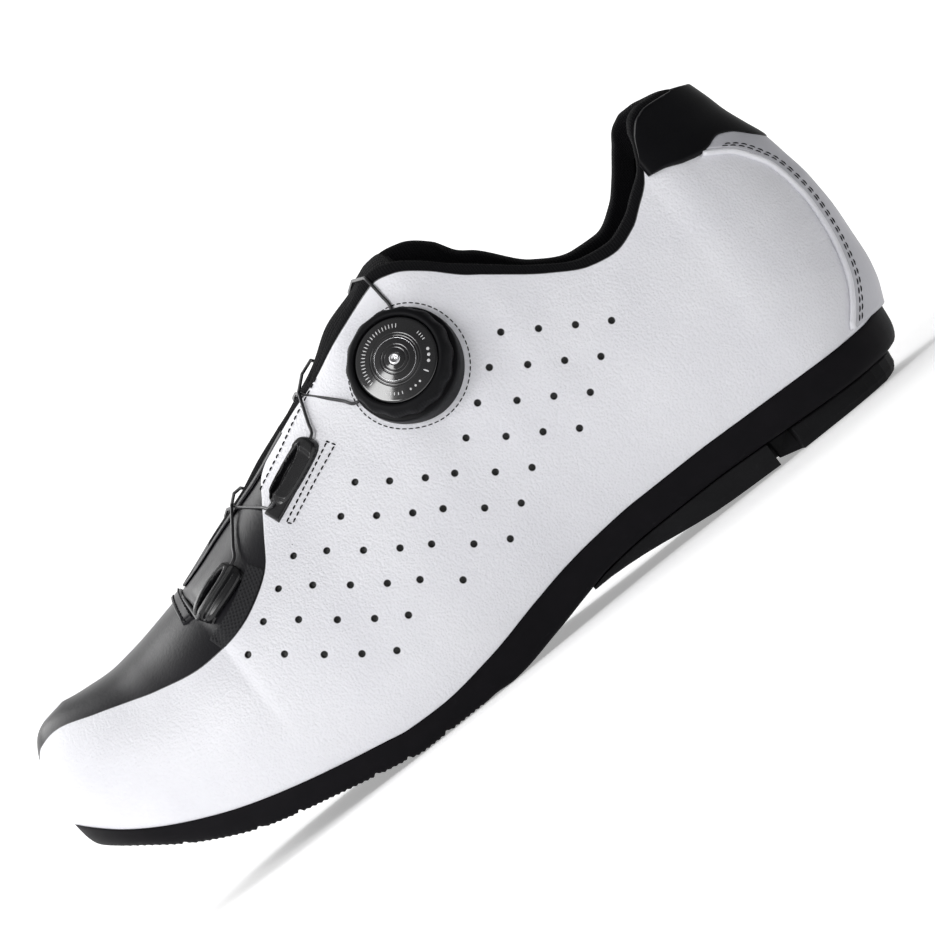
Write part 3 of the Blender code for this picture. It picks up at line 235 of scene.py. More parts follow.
# %% The wall of the upper
def last_point(q, k):
    """Point of the upper: a cubic Bezier wall from the feather line (k 0) to the topline (k 1).

    q goes from -1 at the toe tip along the outer side to 0 at the heel and back on the inner side to 1."""
    q, k = np.broadcast_arrays(np.asarray(q, float), np.asarray(k, float))
    share = along(q)
    low, high, foot, ends = feather_height(share), top_height(q), half_width(share), round_ends(share)
    opening = HEEL_WIDTH * smooth(TOPLINE_COLUMNS, TOPLINE, "half_open", share) * ends
    bulge = BALL_WIDTH * smooth(WALL_COLUMNS, WALL_FORM, "bulge", share) * ends
    shoulder = BALL_WIDTH * smooth(WALL_COLUMNS, WALL_FORM, "shoulder", share) * ends
    rise = smooth(WALL_COLUMNS, WALL_FORM, "rise", share) * (high - low)
    drop = smooth(WALL_COLUMNS, WALL_FORM, "drop", share) * (high - low)
    w0, w1, w2, w3 = (1 - k) ** 3, 3 * k * (1 - k) ** 2, 3 * k * k * (1 - k), k ** 3
    out = w0 * foot + w1 * (foot + bulge) + w2 * (opening + shoulder) + w3 * opening
    z = w0 * low + w1 * (low + rise) + w2 * (high - drop) + w3 * high
    x = HEEL_X - share * LAST_LENGTH + end_shift(share, z)
    return np.stack([x, centre_line(share) + np.where(q < 0, -1.0, 1.0) * out, z], axis=-1)


def unit(v):
    """Vectors of length one along v."""
    return v / np.maximum(np.linalg.norm(v, axis=-1, keepdims=True), 1e-12)


def last_normal(q, k, small=1e-4):
    """Outward direction: the cross product of a small step round the foot and a small step up the wall."""
    q, k = np.broadcast_arrays(np.asarray(q, float), np.asarray(k, float))
    sign, size = np.where(q < 0, -1.0, 1.0), np.abs(q)
    ahead = last_point(sign * np.clip(size + small, 0, 1), k)
    behind = last_point(sign * np.clip(size - small, 0, 1), k)
    up = last_point(q, np.clip(k + small, 0, 1)) - last_point(q, np.clip(k - small, 0, 1))
    out = unit(np.cross((ahead - behind) * sign[..., None], up))
    share = along(q)
    middle = (share <= 1e-9) | (share >= 1 - 1e-9) | ((k >= 1 - 1e-9) & (share >= THROAT_END - 1e-9))
    out[middle, 1] = 0.0
    return unit(out)


# %% Rows of the wall
def level_row(q, z):
    """The k at which the wall at q reaches the height z, found by halving."""
    q, z = np.broadcast_arrays(np.asarray(q, float), np.asarray(z, float))
    low, high = np.zeros(q.shape), np.ones(q.shape)
    for _ in range(22):
        middle = (low + high) / 2
        below = last_point(q, middle)[..., 2] < z
        low, high = np.where(below, middle, low), np.where(below, high, middle)
    return (low + high) / 2


def panel_row(q):
    """The k at which the white panel ends."""
    edge = TOP_HEIGHT * smooth(TOPLINE_COLUMNS, TOPLINE, "edge", along(q))
    return np.clip(level_row(q, edge), 0.2, 0.985)


print("toe tip at", np.round(last_point(1.0, 0.2) / MM, 1))
print("heel at", np.round(last_point(0.0, 0.3) / MM, 1))

# %% [markdown]
# ## From arrays to meshes
# A surface is a grid of points, rows by columns, worked out as whole numpy arrays. One helper joins the
# neighbours into quads and hands everything to Blender at once. A thin sheet gets a second grid behind it
# and a rim between the two, so it is closed like the real sheet, and it keeps its thickness in any view.


# %% Mesh helpers
def grid_quads(rows, columns, wrap=False, start=0):
    """Corner numbers of all quads of a grid stored row by row; wrap joins the last column to the first."""
    r = np.arange(rows - 1)[:, None]
    c = np.arange(columns if wrap else columns - 1)[None, :]
    n = (c + 1) % columns
    quads = np.stack([r * columns + c, r * columns + n, (r + 1) * columns + n, (r + 1) * columns + c], -1)
    return quads.reshape(-1, 4) + start


def signed_volume(points, quads):
    """Volume inside a closed mesh: the sum of the tetrahedra between its triangles and the origin."""
    a, b, c, d = (points[quads[:, i]] for i in range(4))
    return ((np.cross(a, b) * c).sum() + (np.cross(a, c) * d).sum()) / 6


def put_mesh(name, points, quads, uv=None, closed=False, marks=None):
    """A smooth-shaded object from points and quads, doubles merged; a closed mesh faces outwards.

    marks are named values, one for each point, that a material reads as an attribute."""
    points, quads = points.reshape(-1, 3), np.asarray(quads)
    if closed and signed_volume(points, quads) < 0:
        quads = quads[:, ::-1]
    mesh = bpy.data.meshes.new(name)
    mesh.vertices.add(len(points))
    mesh.vertices.foreach_set("co", points.astype(np.float32).ravel())
    mesh.loops.add(quads.size)
    mesh.loops.foreach_set("vertex_index", quads.astype(np.int32).ravel())
    mesh.polygons.add(len(quads))
    mesh.polygons.foreach_set("loop_start", np.arange(0, quads.size, 4, dtype=np.int32))
    mesh.polygons.foreach_set("use_smooth", np.ones(len(quads), bool))
    mesh.update(calc_edges=True)
    if uv is not None:
        layer = mesh.uv_layers.new(name="UVMap")
        layer.data.foreach_set("uv", uv.reshape(-1, 2)[quads.ravel()].astype(np.float32).ravel())
    for mark, values in (marks or {}).items():
        layer = mesh.attributes.new(mark, "FLOAT", "POINT")
        layer.data.foreach_set("value", np.asarray(values, np.float32).ravel())
    bm = bmesh.new()
    bm.from_mesh(mesh)
    bmesh.ops.remove_doubles(bm, verts=bm.verts, dist=1e-7)
    bmesh.ops.dissolve_degenerate(bm, edges=bm.edges, dist=1e-8)
    bm.to_mesh(mesh)
    bm.free()
    piece = bpy.data.objects.new(name, mesh)
    bpy.context.scene.collection.objects.link(piece)
    return piece


# %% Closed sheets and their UV maps
def sheet_arrays(outer, inner):
    """Points and quads of a closed sheet between two grids: both faces and the rim that joins them."""
    rows, columns, _ = outer.shape
    count = rows * columns
    number = np.arange(count).reshape(rows, columns)
    rim = np.concatenate([number[0, :-1], number[:-1, -1], number[-1, :0:-1], number[:0:-1, 0]])
    after = np.roll(rim, -1)
    sides = np.stack([after, rim, rim + count, after + count], -1)
    front, back = grid_quads(rows, columns), grid_quads(rows, columns, start=count)[:, ::-1]
    return np.concatenate([outer.reshape(-1, 3), inner.reshape(-1, 3)]), np.concatenate([front, back, sides])


def full_turn(count):
    """Angles of count equal steps round a full turn."""
    return 2 * math.pi * np.arange(count) / count


def arc_uv(grid):
    """UV in metres: mean arc length along the rows as u and along the columns as v."""
    across = np.linalg.norm(np.diff(grid, axis=1), axis=-1).mean(0)
    up = np.linalg.norm(np.diff(grid, axis=0), axis=-1).mean(1)
    u, v = np.concatenate([[0], np.cumsum(across)]), np.concatenate([[0], np.cumsum(up)])
    return np.stack(np.broadcast_arrays(u[None, :], v[:, None]), -1)


# %% Dressing a piece
def dress(piece, material, slot, *nodes):
    """Gives a piece its material, lets it ride on the shoe and stand for its CAD nodes; slot is not used."""
    piece.data.materials.append(material)
    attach(piece, "root")
    if nodes:
        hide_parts(*nodes)
    size = " x ".join(f"{length / MM:.1f}" for length in piece.dimensions)
    print(f"{piece.name}: {len(piece.data.polygons)} faces, {size} mm")
    return piece


# %% [markdown]
# ## Finishes
# The white leather is a coated microfibre with a fine pebbled grain. Its pebbles are rounded cells, so a
# smooth cell pattern makes their bump, and a finer noise breaks it up. The black leather is smoother and
# shows a broad grey sheen. Knit is drawn on each piece's own UV map in metres, so its loops follow the
# seam instead of sliding over it. Rubber, moulded plastic and wire need little more than roughness.


# %% Material helpers
def node(tree, kind, sockets=None, **settings):
    """One shader node: settings are its own properties, sockets are values or other nodes' outputs."""
    made = tree.nodes.new("ShaderNode" + kind)
    for name, value in settings.items():
        setattr(made, name, value)
    for name, value in (sockets or {}).items():
        if isinstance(value, bpy.types.NodeSocket):
            tree.links.new(value, made.inputs[name])
        else:
            made.inputs[name].default_value = value
    return made


def plain(name, colour, **sockets):
    """A new material with its plain numbers set straight on the shader."""
    material = bpy.data.materials.new(name)
    material.use_nodes = True
    shader = material.node_tree.nodes["Principled BSDF"]
    shader.inputs["Base Color"].default_value = (*colour, 1.0)
    for socket, value in sockets.items():
        shader.inputs[socket.replace("_", " ")].default_value = value
    return material, material.node_tree, shader


def place(tree, on_uv=False):
    """Where the pattern is read: the object's own coordinates, or the piece's UV map."""
    return node(tree, "TexCoord").outputs["UV" if on_uv else "Object"]


def noise(tree, at, size, detail=2.0):
    """Noise whose blobs are about as large as size."""
    return node(tree, "TexNoise", {"Vector": at, "Scale": 1 / size, "Detail": detail}).outputs["Fac"]


def maths(tree, operation, a, b=0.5):
    """One sum on two values."""
    return node(tree, "Math", {0: a, 1: b}, operation=operation).outputs[0]


def bump(tree, shader, height, depth, below=None):
    """Relief of a given depth in metres, on top of another relief."""
    sockets = {"Height": height, "Distance": depth, "Strength": 1.0}
    if below is not None:
        sockets["Normal"] = below
    made = node(tree, "Bump", sockets).outputs["Normal"]
    tree.links.new(made, shader.inputs["Normal"])
    return made


def vary(tree, shader, socket, pattern, low, high):
    """A socket that moves between two values or two colours with a pattern."""
    if isinstance(low, tuple):
        mix = node(tree, "Mix", {"Factor": pattern}, data_type="RGBA")
        mix.inputs[6].default_value, mix.inputs[7].default_value = (*low, 1.0), (*high, 1.0)
        tree.links.new(mix.outputs[2], shader.inputs[socket])
        return mix.outputs[2]
    made = node(tree, "MapRange", {"Value": pattern, "To Min": low, "To Max": high}).outputs[0]
    tree.links.new(made, shader.inputs[socket])
    return made


# %% Leather, knit and moulded materials
def leather(name, dark, light, grain, depth, roughness, **sockets):
    """Pebbled leather: rounded cells pushed about by noise, a finer tooth, and soft clouds of tone."""
    material, tree, shader = plain(name, light, **sockets)
    at = place(tree)
    push = node(tree, "TexNoise", {"Vector": at, "Scale": 1 / (2 * grain), "Detail": 2.0}).outputs["Color"]
    pushed = node(tree, "VectorMath", {0: push, "Scale": grain}, operation="SCALE").outputs[0]
    moved = node(tree, "VectorMath", {0: at, 1: pushed}, operation="ADD").outputs[0]
    cells = node(tree, "TexVoronoi", {"Vector": moved, "Scale": 1 / grain, "Smoothness": 0.6},
                 feature="SMOOTH_F1").outputs["Distance"]
    below = bump(tree, shader, cells, -depth)
    bump(tree, shader, noise(tree, at, grain / 4), depth / 3, below)
    vary(tree, shader, "Base Color", noise(tree, at, 28 * MM, 3.0), dark, light)
    vary(tree, shader, "Roughness", noise(tree, at, 9 * MM), roughness - 0.05, roughness + 0.06)
    return material, tree, shader


def knit(name, dark, light, pitch, depth, roughness=0.9):
    """Knitted cloth on the UV map: rows of small loops from two crossed waves, with a little fuzz."""
    material, tree, shader = plain(name, light, Sheen_Weight=0.02, Specular_IOR_Level=0.12)
    parts = node(tree, "SeparateXYZ", {"Vector": place(tree, on_uv=True)})
    turn_u = maths(tree, "MULTIPLY", parts.outputs["X"], 2 * math.pi / pitch)
    turn_v = maths(tree, "MULTIPLY", parts.outputs["Y"], 2 * math.pi / (0.7 * pitch))
    wave_u = maths(tree, "SINE", turn_u)
    leaning = maths(tree, "ADD", turn_v, maths(tree, "MULTIPLY", wave_u, 1.2))
    arches = maths(tree, "ABSOLUTE", maths(tree, "COSINE", maths(tree, "MULTIPLY", turn_u)))
    loops = maths(tree, "MULTIPLY", arches, maths(tree, "ADD", maths(tree, "SINE", leaning), 1.2))
    below = bump(tree, shader, loops, depth)
    bump(tree, shader, noise(tree, place(tree), pitch / 3), depth / 2, below)
    # Painted shade and highlight: the colour follows the relief, darker in the gaps between loops, lighter
    # on their crests.
    vary(tree, shader, "Base Color", maths(tree, "MULTIPLY", loops), dark, light)
    shader.inputs["Roughness"].default_value = roughness
    return material


def moulded(name, dark, light, roughness, tooth=0.02 * MM, **sockets):
    """Moulded rubber or plastic: a fine even tooth, and slight clouds of tone and gloss."""
    material, tree, shader = plain(name, light, **sockets)
    at = place(tree)
    bump(tree, shader, noise(tree, at, 0.25 * MM, 1.0), tooth)
    vary(tree, shader, "Base Color", noise(tree, at, 6 * MM, 3.0), dark, light)
    vary(tree, shader, "Roughness", noise(tree, at, 3 * MM), roughness - 0.05, roughness + 0.05)
    return material


# %% The finishes of this shoe
white_leather, white_tree, white_shader = leather(
    "white_leather", (0.74, 0.74, 0.79), (0.87, 0.87, 0.905), 0.75 * MM, 0.15 * MM, 0.42, Coat_Weight=0.10,
    Coat_Roughness=0.35)
# Painted shade: the heel counter is the white leather, set to a darker grey for the shade at the heel's
# back.
counter_leather, _, _ = leather(
    "counter_leather", (0.50, 0.50, 0.54), (0.56, 0.56, 0.60), 0.9 * MM, 0.06 * MM, 0.42)
black_leather, _, _ = leather(
    "black_leather", (0.008, 0.008, 0.010), (0.013, 0.012, 0.015), 0.7 * MM, 0.03 * MM, 0.32,
    Specular_IOR_Level=0.22)
patch_leather, _, _ = leather(
    "patch_leather", (0.002, 0.002, 0.003), (0.004, 0.004, 0.005), 0.7 * MM, 0.02 * MM, 0.42,
    Specular_IOR_Level=0.12)
binding_knit = knit("binding_knit", (0.002, 0.002, 0.003), (0.009, 0.009, 0.010), 0.9 * MM, 0.12 * MM)
lining_cloth = knit("lining_cloth", (0.003, 0.003, 0.004), (0.012, 0.012, 0.013), 1.6 * MM, 0.20 * MM)
tongue_mesh = knit("tongue_mesh", (0.002, 0.002, 0.003), (0.011, 0.011, 0.012), 1.1 * MM, 0.15 * MM)
webbing = knit("webbing", (0.004, 0.004, 0.005), (0.045, 0.045, 0.048), 1.2 * MM, 0.25 * MM, 0.8)
sole_rubber = moulded("sole_rubber", (0.005, 0.005, 0.006), (0.009, 0.008, 0.010), 0.55, 0.03 * MM,
                      Specular_IOR_Level=0.06)
block_rubber = moulded("block_rubber", (0.006, 0.006, 0.007), (0.012, 0.012, 0.013), 0.62, 0.04 * MM,
                       Specular_IOR_Level=0.12)
dial_plastic = moulded("dial_plastic", (0.003, 0.003, 0.004), (0.006, 0.006, 0.007), 0.45,
                       Specular_IOR_Level=0.12)
grip_rubber = moulded("grip_rubber", (0.003, 0.003, 0.004), (0.006, 0.006, 0.007), 0.55,
                      Specular_IOR_Level=0.12)
cap_gloss = moulded("cap_gloss", (0.003, 0.003, 0.004), (0.005, 0.005, 0.006), 0.10, 0.0,
                    Specular_IOR_Level=0.8, Coat_Weight=0.4, Coat_Roughness=0.06)
guide_plastic = moulded("guide_plastic", (0.005, 0.005, 0.006), (0.009, 0.009, 0.010), 0.24, 0.004 * MM)
bright_steel = moulded("bright_steel", (0.62, 0.62, 0.64), (0.78, 0.78, 0.80), 0.24, 0.003 * MM,
                       Metallic=1.0)
lace_steel = moulded("lace_steel", (0.020, 0.020, 0.022), (0.055, 0.055, 0.058), 0.34, Metallic=0.5)
black_thread = moulded("black_thread", (0.004, 0.004, 0.005), (0.012, 0.012, 0.013), 0.7,
                       Specular_IOR_Level=0.2)
mark_paint = moulded("mark_paint", (0.60, 0.60, 0.61), (0.72, 0.72, 0.73), 0.5)
insole_cloth = moulded("insole_cloth", (0.010, 0.010, 0.012), (0.026, 0.026, 0.028), 0.9, 0.12 * MM)
print(len(bpy.data.materials), "materials")

# %% [markdown]
# ## Finding a place on the shoe
# A pattern maker marks holes, stitches and guides on the side of the shoe. On a photograph taken from the
# side such a mark has a distance along the shoe and a height. This helper turns both into q and k, the
# last's own coordinates. A second helper lays a small flat pattern on the form round one spot: it walks
# over the surface until every point is as far along and across as it was on the pattern.


# %% Marks on the side
def on_side(x, z, side=-1.0):
    """q and k where the form has place x and height z: the share is corrected until x fits."""
    x, z = np.asarray(x, float), np.asarray(z, float)
    share = (HEEL_X - x) / LAST_LENGTH
    for _ in range(7):
        q = side * np.maximum(around(share), 1e-6)
        k = level_row(q, z)
        share = np.clip(share + (last_point(q, k)[..., 0] - x) / LAST_LENGTH, 0, 1)
    return side * np.maximum(around(share), 1e-6), k


def dot(a, b):
    """Sum of the products along the last axis."""
    return (a * b).sum(-1)


def spot_axes(q, k, slope=0.0):
    """Centre, outward normal, and run and cross axes of a pattern laid at (q, k), run rising by slope."""
    centre, normal = last_point(q, k), last_normal(q, k)
    run = np.array([math.cos(slope), 0.0, math.sin(slope)])
    run = unit(run - normal * dot(run, normal)[..., None])
    return centre, normal, run, unit(np.cross(normal, run))


def lay_on(q, k, run, cross, s, t):
    """q and k of the points that lie s along run and t along cross, by six Newton steps."""
    centre = last_point(q, k)
    q, k, s, t = (np.array(a, float) for a in np.broadcast_arrays(q, k, s, t))
    for _ in range(6):
        p = last_point(q, k)
        round_step = (last_point(q + 1e-4, k) - p) / 1e-4
        up_step = (last_point(q, k + 1e-3) - p) / 1e-3
        es, et = dot(p - centre, run) - s, dot(p - centre, cross) - t
        a, b, c, d = dot(round_step, run), dot(up_step, run), dot(round_step, cross), dot(up_step, cross)
        det = a * d - b * c
        q = q - (d * es - b * et) / det
        k = np.clip(k - (a * et - c * es) / det, 0.001, 0.999)
    return q, k


print("a mark at (-120, 50) mm has q, k", [round(float(v), 3) for v in on_side(-0.12, 0.05)])

# %% [markdown]
# ## The white side panel
# One piece of white leather wraps the toe, both sides and the heel. It is laid over the black vamp and the
# collar binding, so its cut edge shows as a dark line one thickness high. The surface is the last's form
# lifted by that thickness. Soft creases, where the leather was pulled over the last, are added as shallow
# troughs along short strokes. Faces under the punched holes are left out.

# %% Creases and the panel
# Each stroke goes from x, z to x, z, and then has its depth and its width, all in mm.
CREASES = (
    (-30, 76, -52, 62, 0.35, 5.0), (-12, 74, -30, 58, 0.25, 6.0), (-62, 84, -66, 72, 0.18, 4.0),
    (-176, 40, -192, 22, 0.25, 7.0), (-150, 20, -178, 14, 0.20, 5.0), (-206, 50, -216, 34, 0.25, 8.0),
    (6, 60, -12, 40, 0.20, 8.0), (-84, 30, -120, 22, 0.18, 8.0), (-228, 56, -234, 44, -0.20, 9.0),
)


def creases(points):
    """Depth of the leather's soft troughs: each fades with the squared distance from its stroke."""
    x, z = points[..., 0] / MM, points[..., 2] / MM
    total = np.zeros(x.shape)
    for x0, z0, x1, z1, depth, width in CREASES:
        dx, dz = x1 - x0, z1 - z0
        t = np.clip(((x - x0) * dx + (z - z0) * dz) / (dx * dx + dz * dz), 0, 1)
        away = np.hypot(x - x0 - t * dx, z - z0 - t * dz)
        total -= depth * MM * np.exp(-(away / width) ** 2)
    return total


def panel_form(q, k, lift=PANEL_STEP):
    """The white leather's face: the last, lifted by the panel's thickness and by its creases."""
    base = last_point(q, k)
    return base + last_normal(q, k) * (lift + creases(base))[..., None]


def k_for(q, k, length):
    """The step in k that goes the given length up the wall at (q, k)."""
    return length * 0.01 / np.linalg.norm(last_point(q, k) - last_point(q, k - 0.01), axis=-1)


# %% Where the holes are
HOLE_RADIUS = 1.0 * MM
# Each row goes from x, z to x, z in mm, and then has its count of holes.
HOLE_ROWS = (
    (-193.8, 52.8, -166.2, 66.8, 4), (-185.5, 46.7, -139.2, 72.6, 6), (-176.6, 39.7, -131.2, 66.9, 6),
    (-168.0, 33.3, -122.6, 61.4, 6), (-159.6, 27.9, -79.8, 80.8, 10), (-132.3, 32.0, -70.7, 74.9, 8),
    (-114.4, 32.8, -61.6, 69.2, 7), (-79.1, 45.3, -52.7, 63.7, 4),
)
# Side marks are in mm, and their zero lies this far behind the origin.
MARK_SHIFT = 15.5
hole_marks = np.concatenate([np.linspace((x0, z0), (x1, z1), n) for x0, z0, x1, z1, n in HOLE_ROWS])
hole_x, hole_z = (hole_marks[:, 0] + MARK_SHIFT) * MM, hole_marks[:, 1] * MM
outer_marks, inner_marks = on_side(hole_x, hole_z), on_side(hole_x, hole_z, 1.0)
hole_q, hole_k = (np.concatenate(pair) for pair in zip(outer_marks, inner_marks))
print(len(hole_q), "holes on both sides")

# %% The panel's surface
CUT_EDGE_TURN, FEATHER_OVERLAP = 0.9 * MM, 0.5 * MM
HOLE_CLEARING = 1.3
turns = np.linspace(0, 1, 361)
panel_q = np.concatenate([-turns[::-1], turns[1:]])
panel_edge = panel_row(panel_q)
rows = np.linspace(0, 1, 84)[:, None] * panel_edge[None, :]
over = panel_edge + np.minimum(k_for(panel_q, panel_edge, CUT_EDGE_TURN), (1 - panel_edge) / 3)
steps_down = np.array([0.35, 0.75, 1.0, 1.0])[:, None]
edge_rows = panel_edge + (over - panel_edge) * steps_down
panel_k = np.concatenate([rows, edge_rows])
panel_lift = np.concatenate([np.full(len(rows), 1.0), [0.94, 0.62, 0.1, -0.3]])[:, None] * PANEL_STEP
panel_grid = panel_form(panel_q[None, :], panel_k, np.broadcast_to(panel_lift, panel_k.shape))
panel_grid[0, :, 2] -= FEATHER_OVERLAP
panel_quads = grid_quads(*panel_k.shape)
hole_spots = panel_form(hole_q, hole_k)
centres = panel_grid.reshape(-1, 3)
nearest = np.min([np.linalg.norm(centres - spot, axis=1) for spot in hole_spots], axis=0)
open_quads = panel_quads[(nearest[panel_quads] > HOLE_CLEARING * HOLE_RADIUS).all(1)]
raw_edge = np.zeros(panel_k.shape)
raw_edge[len(rows):] = 1.0
panel_piece = put_mesh("white_panel", panel_grid, open_quads, marks={"cut_edge_and_hole_shade": raw_edge})
print(len(panel_quads) - len(open_quads), "faces left out under the holes")


# %% The dark cut edge, and the painted shade in the holes
def paint_edge_and_hole_shade(tree, shader, name):
    """Darkens the base colour where the named attribute is one."""
    made = shader.inputs["Base Color"].links[0].from_socket
    mask = node(tree, "Attribute", attribute_name=name).outputs["Fac"]
    mix = node(tree, "Mix", {"Factor": mask}, data_type="RGBA")
    tree.links.new(made, mix.inputs[6])
    mix.inputs[7].default_value = (0.002, 0.002, 0.002, 1.0)
    tree.links.new(mix.outputs[2], shader.inputs["Base Color"])


paint_edge_and_hole_shade(white_tree, white_shader, "cut_edge_and_hole_shade")
dress(panel_piece, white_leather, "white_leather", "upper")

# %% [markdown]
# ## The punched holes
# Air holes are punched through the white leather in slanting rows. A real hole is a clean cylinder whose
# rim is drawn in a little by the punch. Each is a small ring laid on the panel's own form, so that it
# joins without a seam, then a rounded lip, a wall with the cut edge's dark paint, and a floor painted dark
# as shade. All of them are one mesh.

# %% Holes as rings laid on the panel
HOLE_SIDES = 20
# From the outermost ring inwards: reach in hole radii, sink in mm, and how dark the paint is. The lip and
# wall take the cut edge's dark paint; the floor's dark is painted shade.
ring_reach = np.array([3.4, 2.4, 1.6, 1.25, 1.08, 1.0, 0.97, 0.95, 0.6, 0.0]) * HOLE_RADIUS
ring_sink = np.array([-0.012, -0.012, -0.008, 0.0, 0.03, 0.13, 0.45, 1.0, 1.05, 1.05]) * MM
ring_edge_paint_and_shade = np.array([0, 0, 0, 0, 0.3, 1, 1, 1, 1, 1.0])
hole_turn = full_turn(HOLE_SIDES)
_, hole_normal, hole_run, hole_cross = spot_axes(hole_q, hole_k)
ring_s = (ring_reach[:, None] * np.cos(hole_turn))[None]
ring_t = (ring_reach[:, None] * np.sin(hole_turn))[None]
ring_q, ring_k = lay_on(hole_q[:, None, None], hole_k[:, None, None], hole_run[:, None, None],
                        hole_cross[:, None, None], ring_s, ring_t)
ring_points = panel_form(ring_q, ring_k) - hole_normal[:, None, None] * ring_sink[None, :, None, None]
per_hole = len(ring_reach) * HOLE_SIDES
ring_quads = grid_quads(len(ring_reach), HOLE_SIDES, wrap=True)
hole_quads = (ring_quads[None] + per_hole * np.arange(len(hole_q))[:, None, None]).reshape(-1, 4)
# The holes' dark is the cut edge's paint on lip and wall, and painted shade on the floor.
hole_mark = np.broadcast_to(ring_edge_paint_and_shade[None, :, None], ring_q.shape)
holes_piece = put_mesh("punched_holes", ring_points, hole_quads, marks={"cut_edge_and_hole_shade": hole_mark})
dress(holes_piece, white_leather, "white_leather", "upper")

# %% [markdown]
# ## The black vamp
# In front of the throat the foot is covered by smooth black leather. It runs under the white panel's edge
# on both sides and over the ridge of the toe. The left and right strips share their points on the ridge,
# so they merge into one sheet, and the sheen runs across without a break.

# %% The vamp
VAMP_START, UNDER_PANEL, VAMP_LIFT = 0.570, 0.03, 0.05 * MM
vamp_turn = np.linspace(around(VAMP_START), 1, 150)
vamp_strips = []
for vamp_q in (-vamp_turn[::-1], vamp_turn):
    vamp_low = panel_row(vamp_q) - UNDER_PANEL
    vamp_k = vamp_low + (1 - vamp_low) * np.linspace(0, 1, 60)[:, None]
    base = last_point(vamp_q[None, :], vamp_k)
    puff = VAMP_LIFT + 0.5 * creases(base)
    vamp_strips.append(base + last_normal(vamp_q[None, :], vamp_k) * puff[..., None])
vamp_quads = grid_quads(*vamp_strips[0].shape[:2])
vamp_points = np.concatenate([strip.reshape(-1, 3) for strip in vamp_strips])
vamp_quads = np.concatenate([vamp_quads, vamp_quads + len(vamp_points) // 2])
dress(put_mesh("black_vamp", vamp_points, vamp_quads), black_leather, "white_leather", "upper")


# %% [markdown]
# ## Rolled edges
# Knitted tape is folded over the collar's edge and sewn through. Along the throat a strip of smooth
# leather does the same. Both are one profile carried along the topline: up the outside, over a half
# round as wide as the wall, and a little way down the inside.

# %% The rolled edge as a profile along the topline
def wall_thickness(q, k):
    """The wall of the upper, plus the collar's padding where a soft step in share and in k lets it in."""
    ankle = np.clip(1 - (along(q) - 0.30) / 0.12, 0, 1)
    high = np.clip((k - 0.45) / 0.35, 0, 1)
    return WALL + COLLAR_PAD * ankle ** 2 * (3 - 2 * ankle) * high ** 2 * (3 - 2 * high)


def rolled_edge(q, k_low, inside, bulge, outer_lift=0.1 * MM):
    """Grid of a tape folded over the topline: outside rows, a half round of nine rows, inside rows."""
    q = q[None, :]
    v = np.linspace(0, 1, 14)[:, None]
    k_out = k_low[None, :] + (1 - k_low[None, :]) * v
    lift = outer_lift + bulge * np.sin(math.pi * np.clip(v, 0, 1)) ** 0.6
    outside = last_point(q, k_out) + last_normal(q, k_out) * lift[..., None]
    top, normal = last_point(q, np.ones_like(q)), last_normal(q, np.ones_like(q))
    up = unit(top - last_point(q, np.full_like(q, 0.97)))
    thick = wall_thickness(q, 1.0)[..., None] + outer_lift
    turn = np.linspace(0, math.pi, 11)[1:-1, None, None]
    middle = top + normal * (outer_lift - thick / 2)
    rim = middle + normal * np.cos(turn) * thick / 2 + up * np.sin(turn) * np.minimum(thick / 2, 1.5 * MM)
    k_in = 1 - inside * v[1:]
    within = last_point(q, k_in) - last_normal(q, k_in) * (wall_thickness(q, k_in) + 0.2 * MM)[..., None]
    return np.concatenate([outside, rim, within])


# %% Collar tape and throat strips
COLLAR_SPAN, THROAT_SPAN = 0.60, (0.575, 0.757)
TAPE_BULGE, STRIP_WIDTH, STRIP_BULGE, STRIP_LIFT = 0.35 * MM, 2.6 * MM, 0.45 * MM, 0.5 * MM
collar_turn = around(COLLAR_SPAN)
collar_q = np.linspace(-collar_turn, collar_turn, 900)
# The tape's lower edge wanders a little, as a hand-turned edge does: two sines round its mean width in mm.
ragged = 1.1 + 0.12 * np.sin(410 * collar_q) + 0.10 * np.sin(967 * collar_q + 1.0)
collar_low = panel_row(collar_q) - k_for(collar_q, panel_row(collar_q), ragged * MM)
collar_grid = rolled_edge(collar_q, collar_low, 0.10, TAPE_BULGE)
collar_quads = grid_quads(*collar_grid.shape[:2])
collar_piece = put_mesh("collar_tape", collar_grid, collar_quads, uv=arc_uv(collar_grid))
dress(collar_piece, binding_knit, "tongue_mesh", "upper")
for side_name, sign in (("outer", -1), ("inner", 1)):
    throat_q = np.sort(sign * np.linspace(around(THROAT_SPAN[0]), around(THROAT_SPAN[1]), 90))
    wall = np.linalg.norm(last_point(throat_q, 1.0) - last_point(throat_q, 0.97), axis=-1) / 0.03
    throat_grid = rolled_edge(throat_q, 1 - STRIP_WIDTH / wall, 0.08, STRIP_BULGE, STRIP_LIFT)
    throat_piece = put_mesh("throat_edge_" + side_name, throat_grid, grid_quads(*throat_grid.shape[:2]))
    dress(throat_piece, black_leather, "white_leather", "upper")

# %% [markdown]
# ## Lining and collar padding
# Inside, a knitted lining covers the wall down to the insole. Round the ankle a foam roll swells it
# towards the foot. The lining is the last's form moved inwards. The foam roll is a closed cushion on it,
# whose thickness rises and falls with a half sine between its two seams.

# %% Lining
LINING_TOP, LINING_DEPTH = 0.985, 0.75
lining_q = np.concatenate([-turns[::-3][:-1], turns[::3]])
lining_k = np.linspace(0.0, LINING_TOP, 40)[:, None] * np.ones_like(lining_q)[None, :]
lining_base = last_point(lining_q[None, :], lining_k)
lining_grid = lining_base - last_normal(lining_q[None, :], lining_k) * (WALL * LINING_DEPTH)
lining_quads = grid_quads(*lining_grid.shape[:2])[:, ::-1]
lining_piece = put_mesh("lining", lining_grid, lining_quads, uv=arc_uv(lining_grid))
dress(lining_piece, lining_cloth, "insole_cloth", "upper")

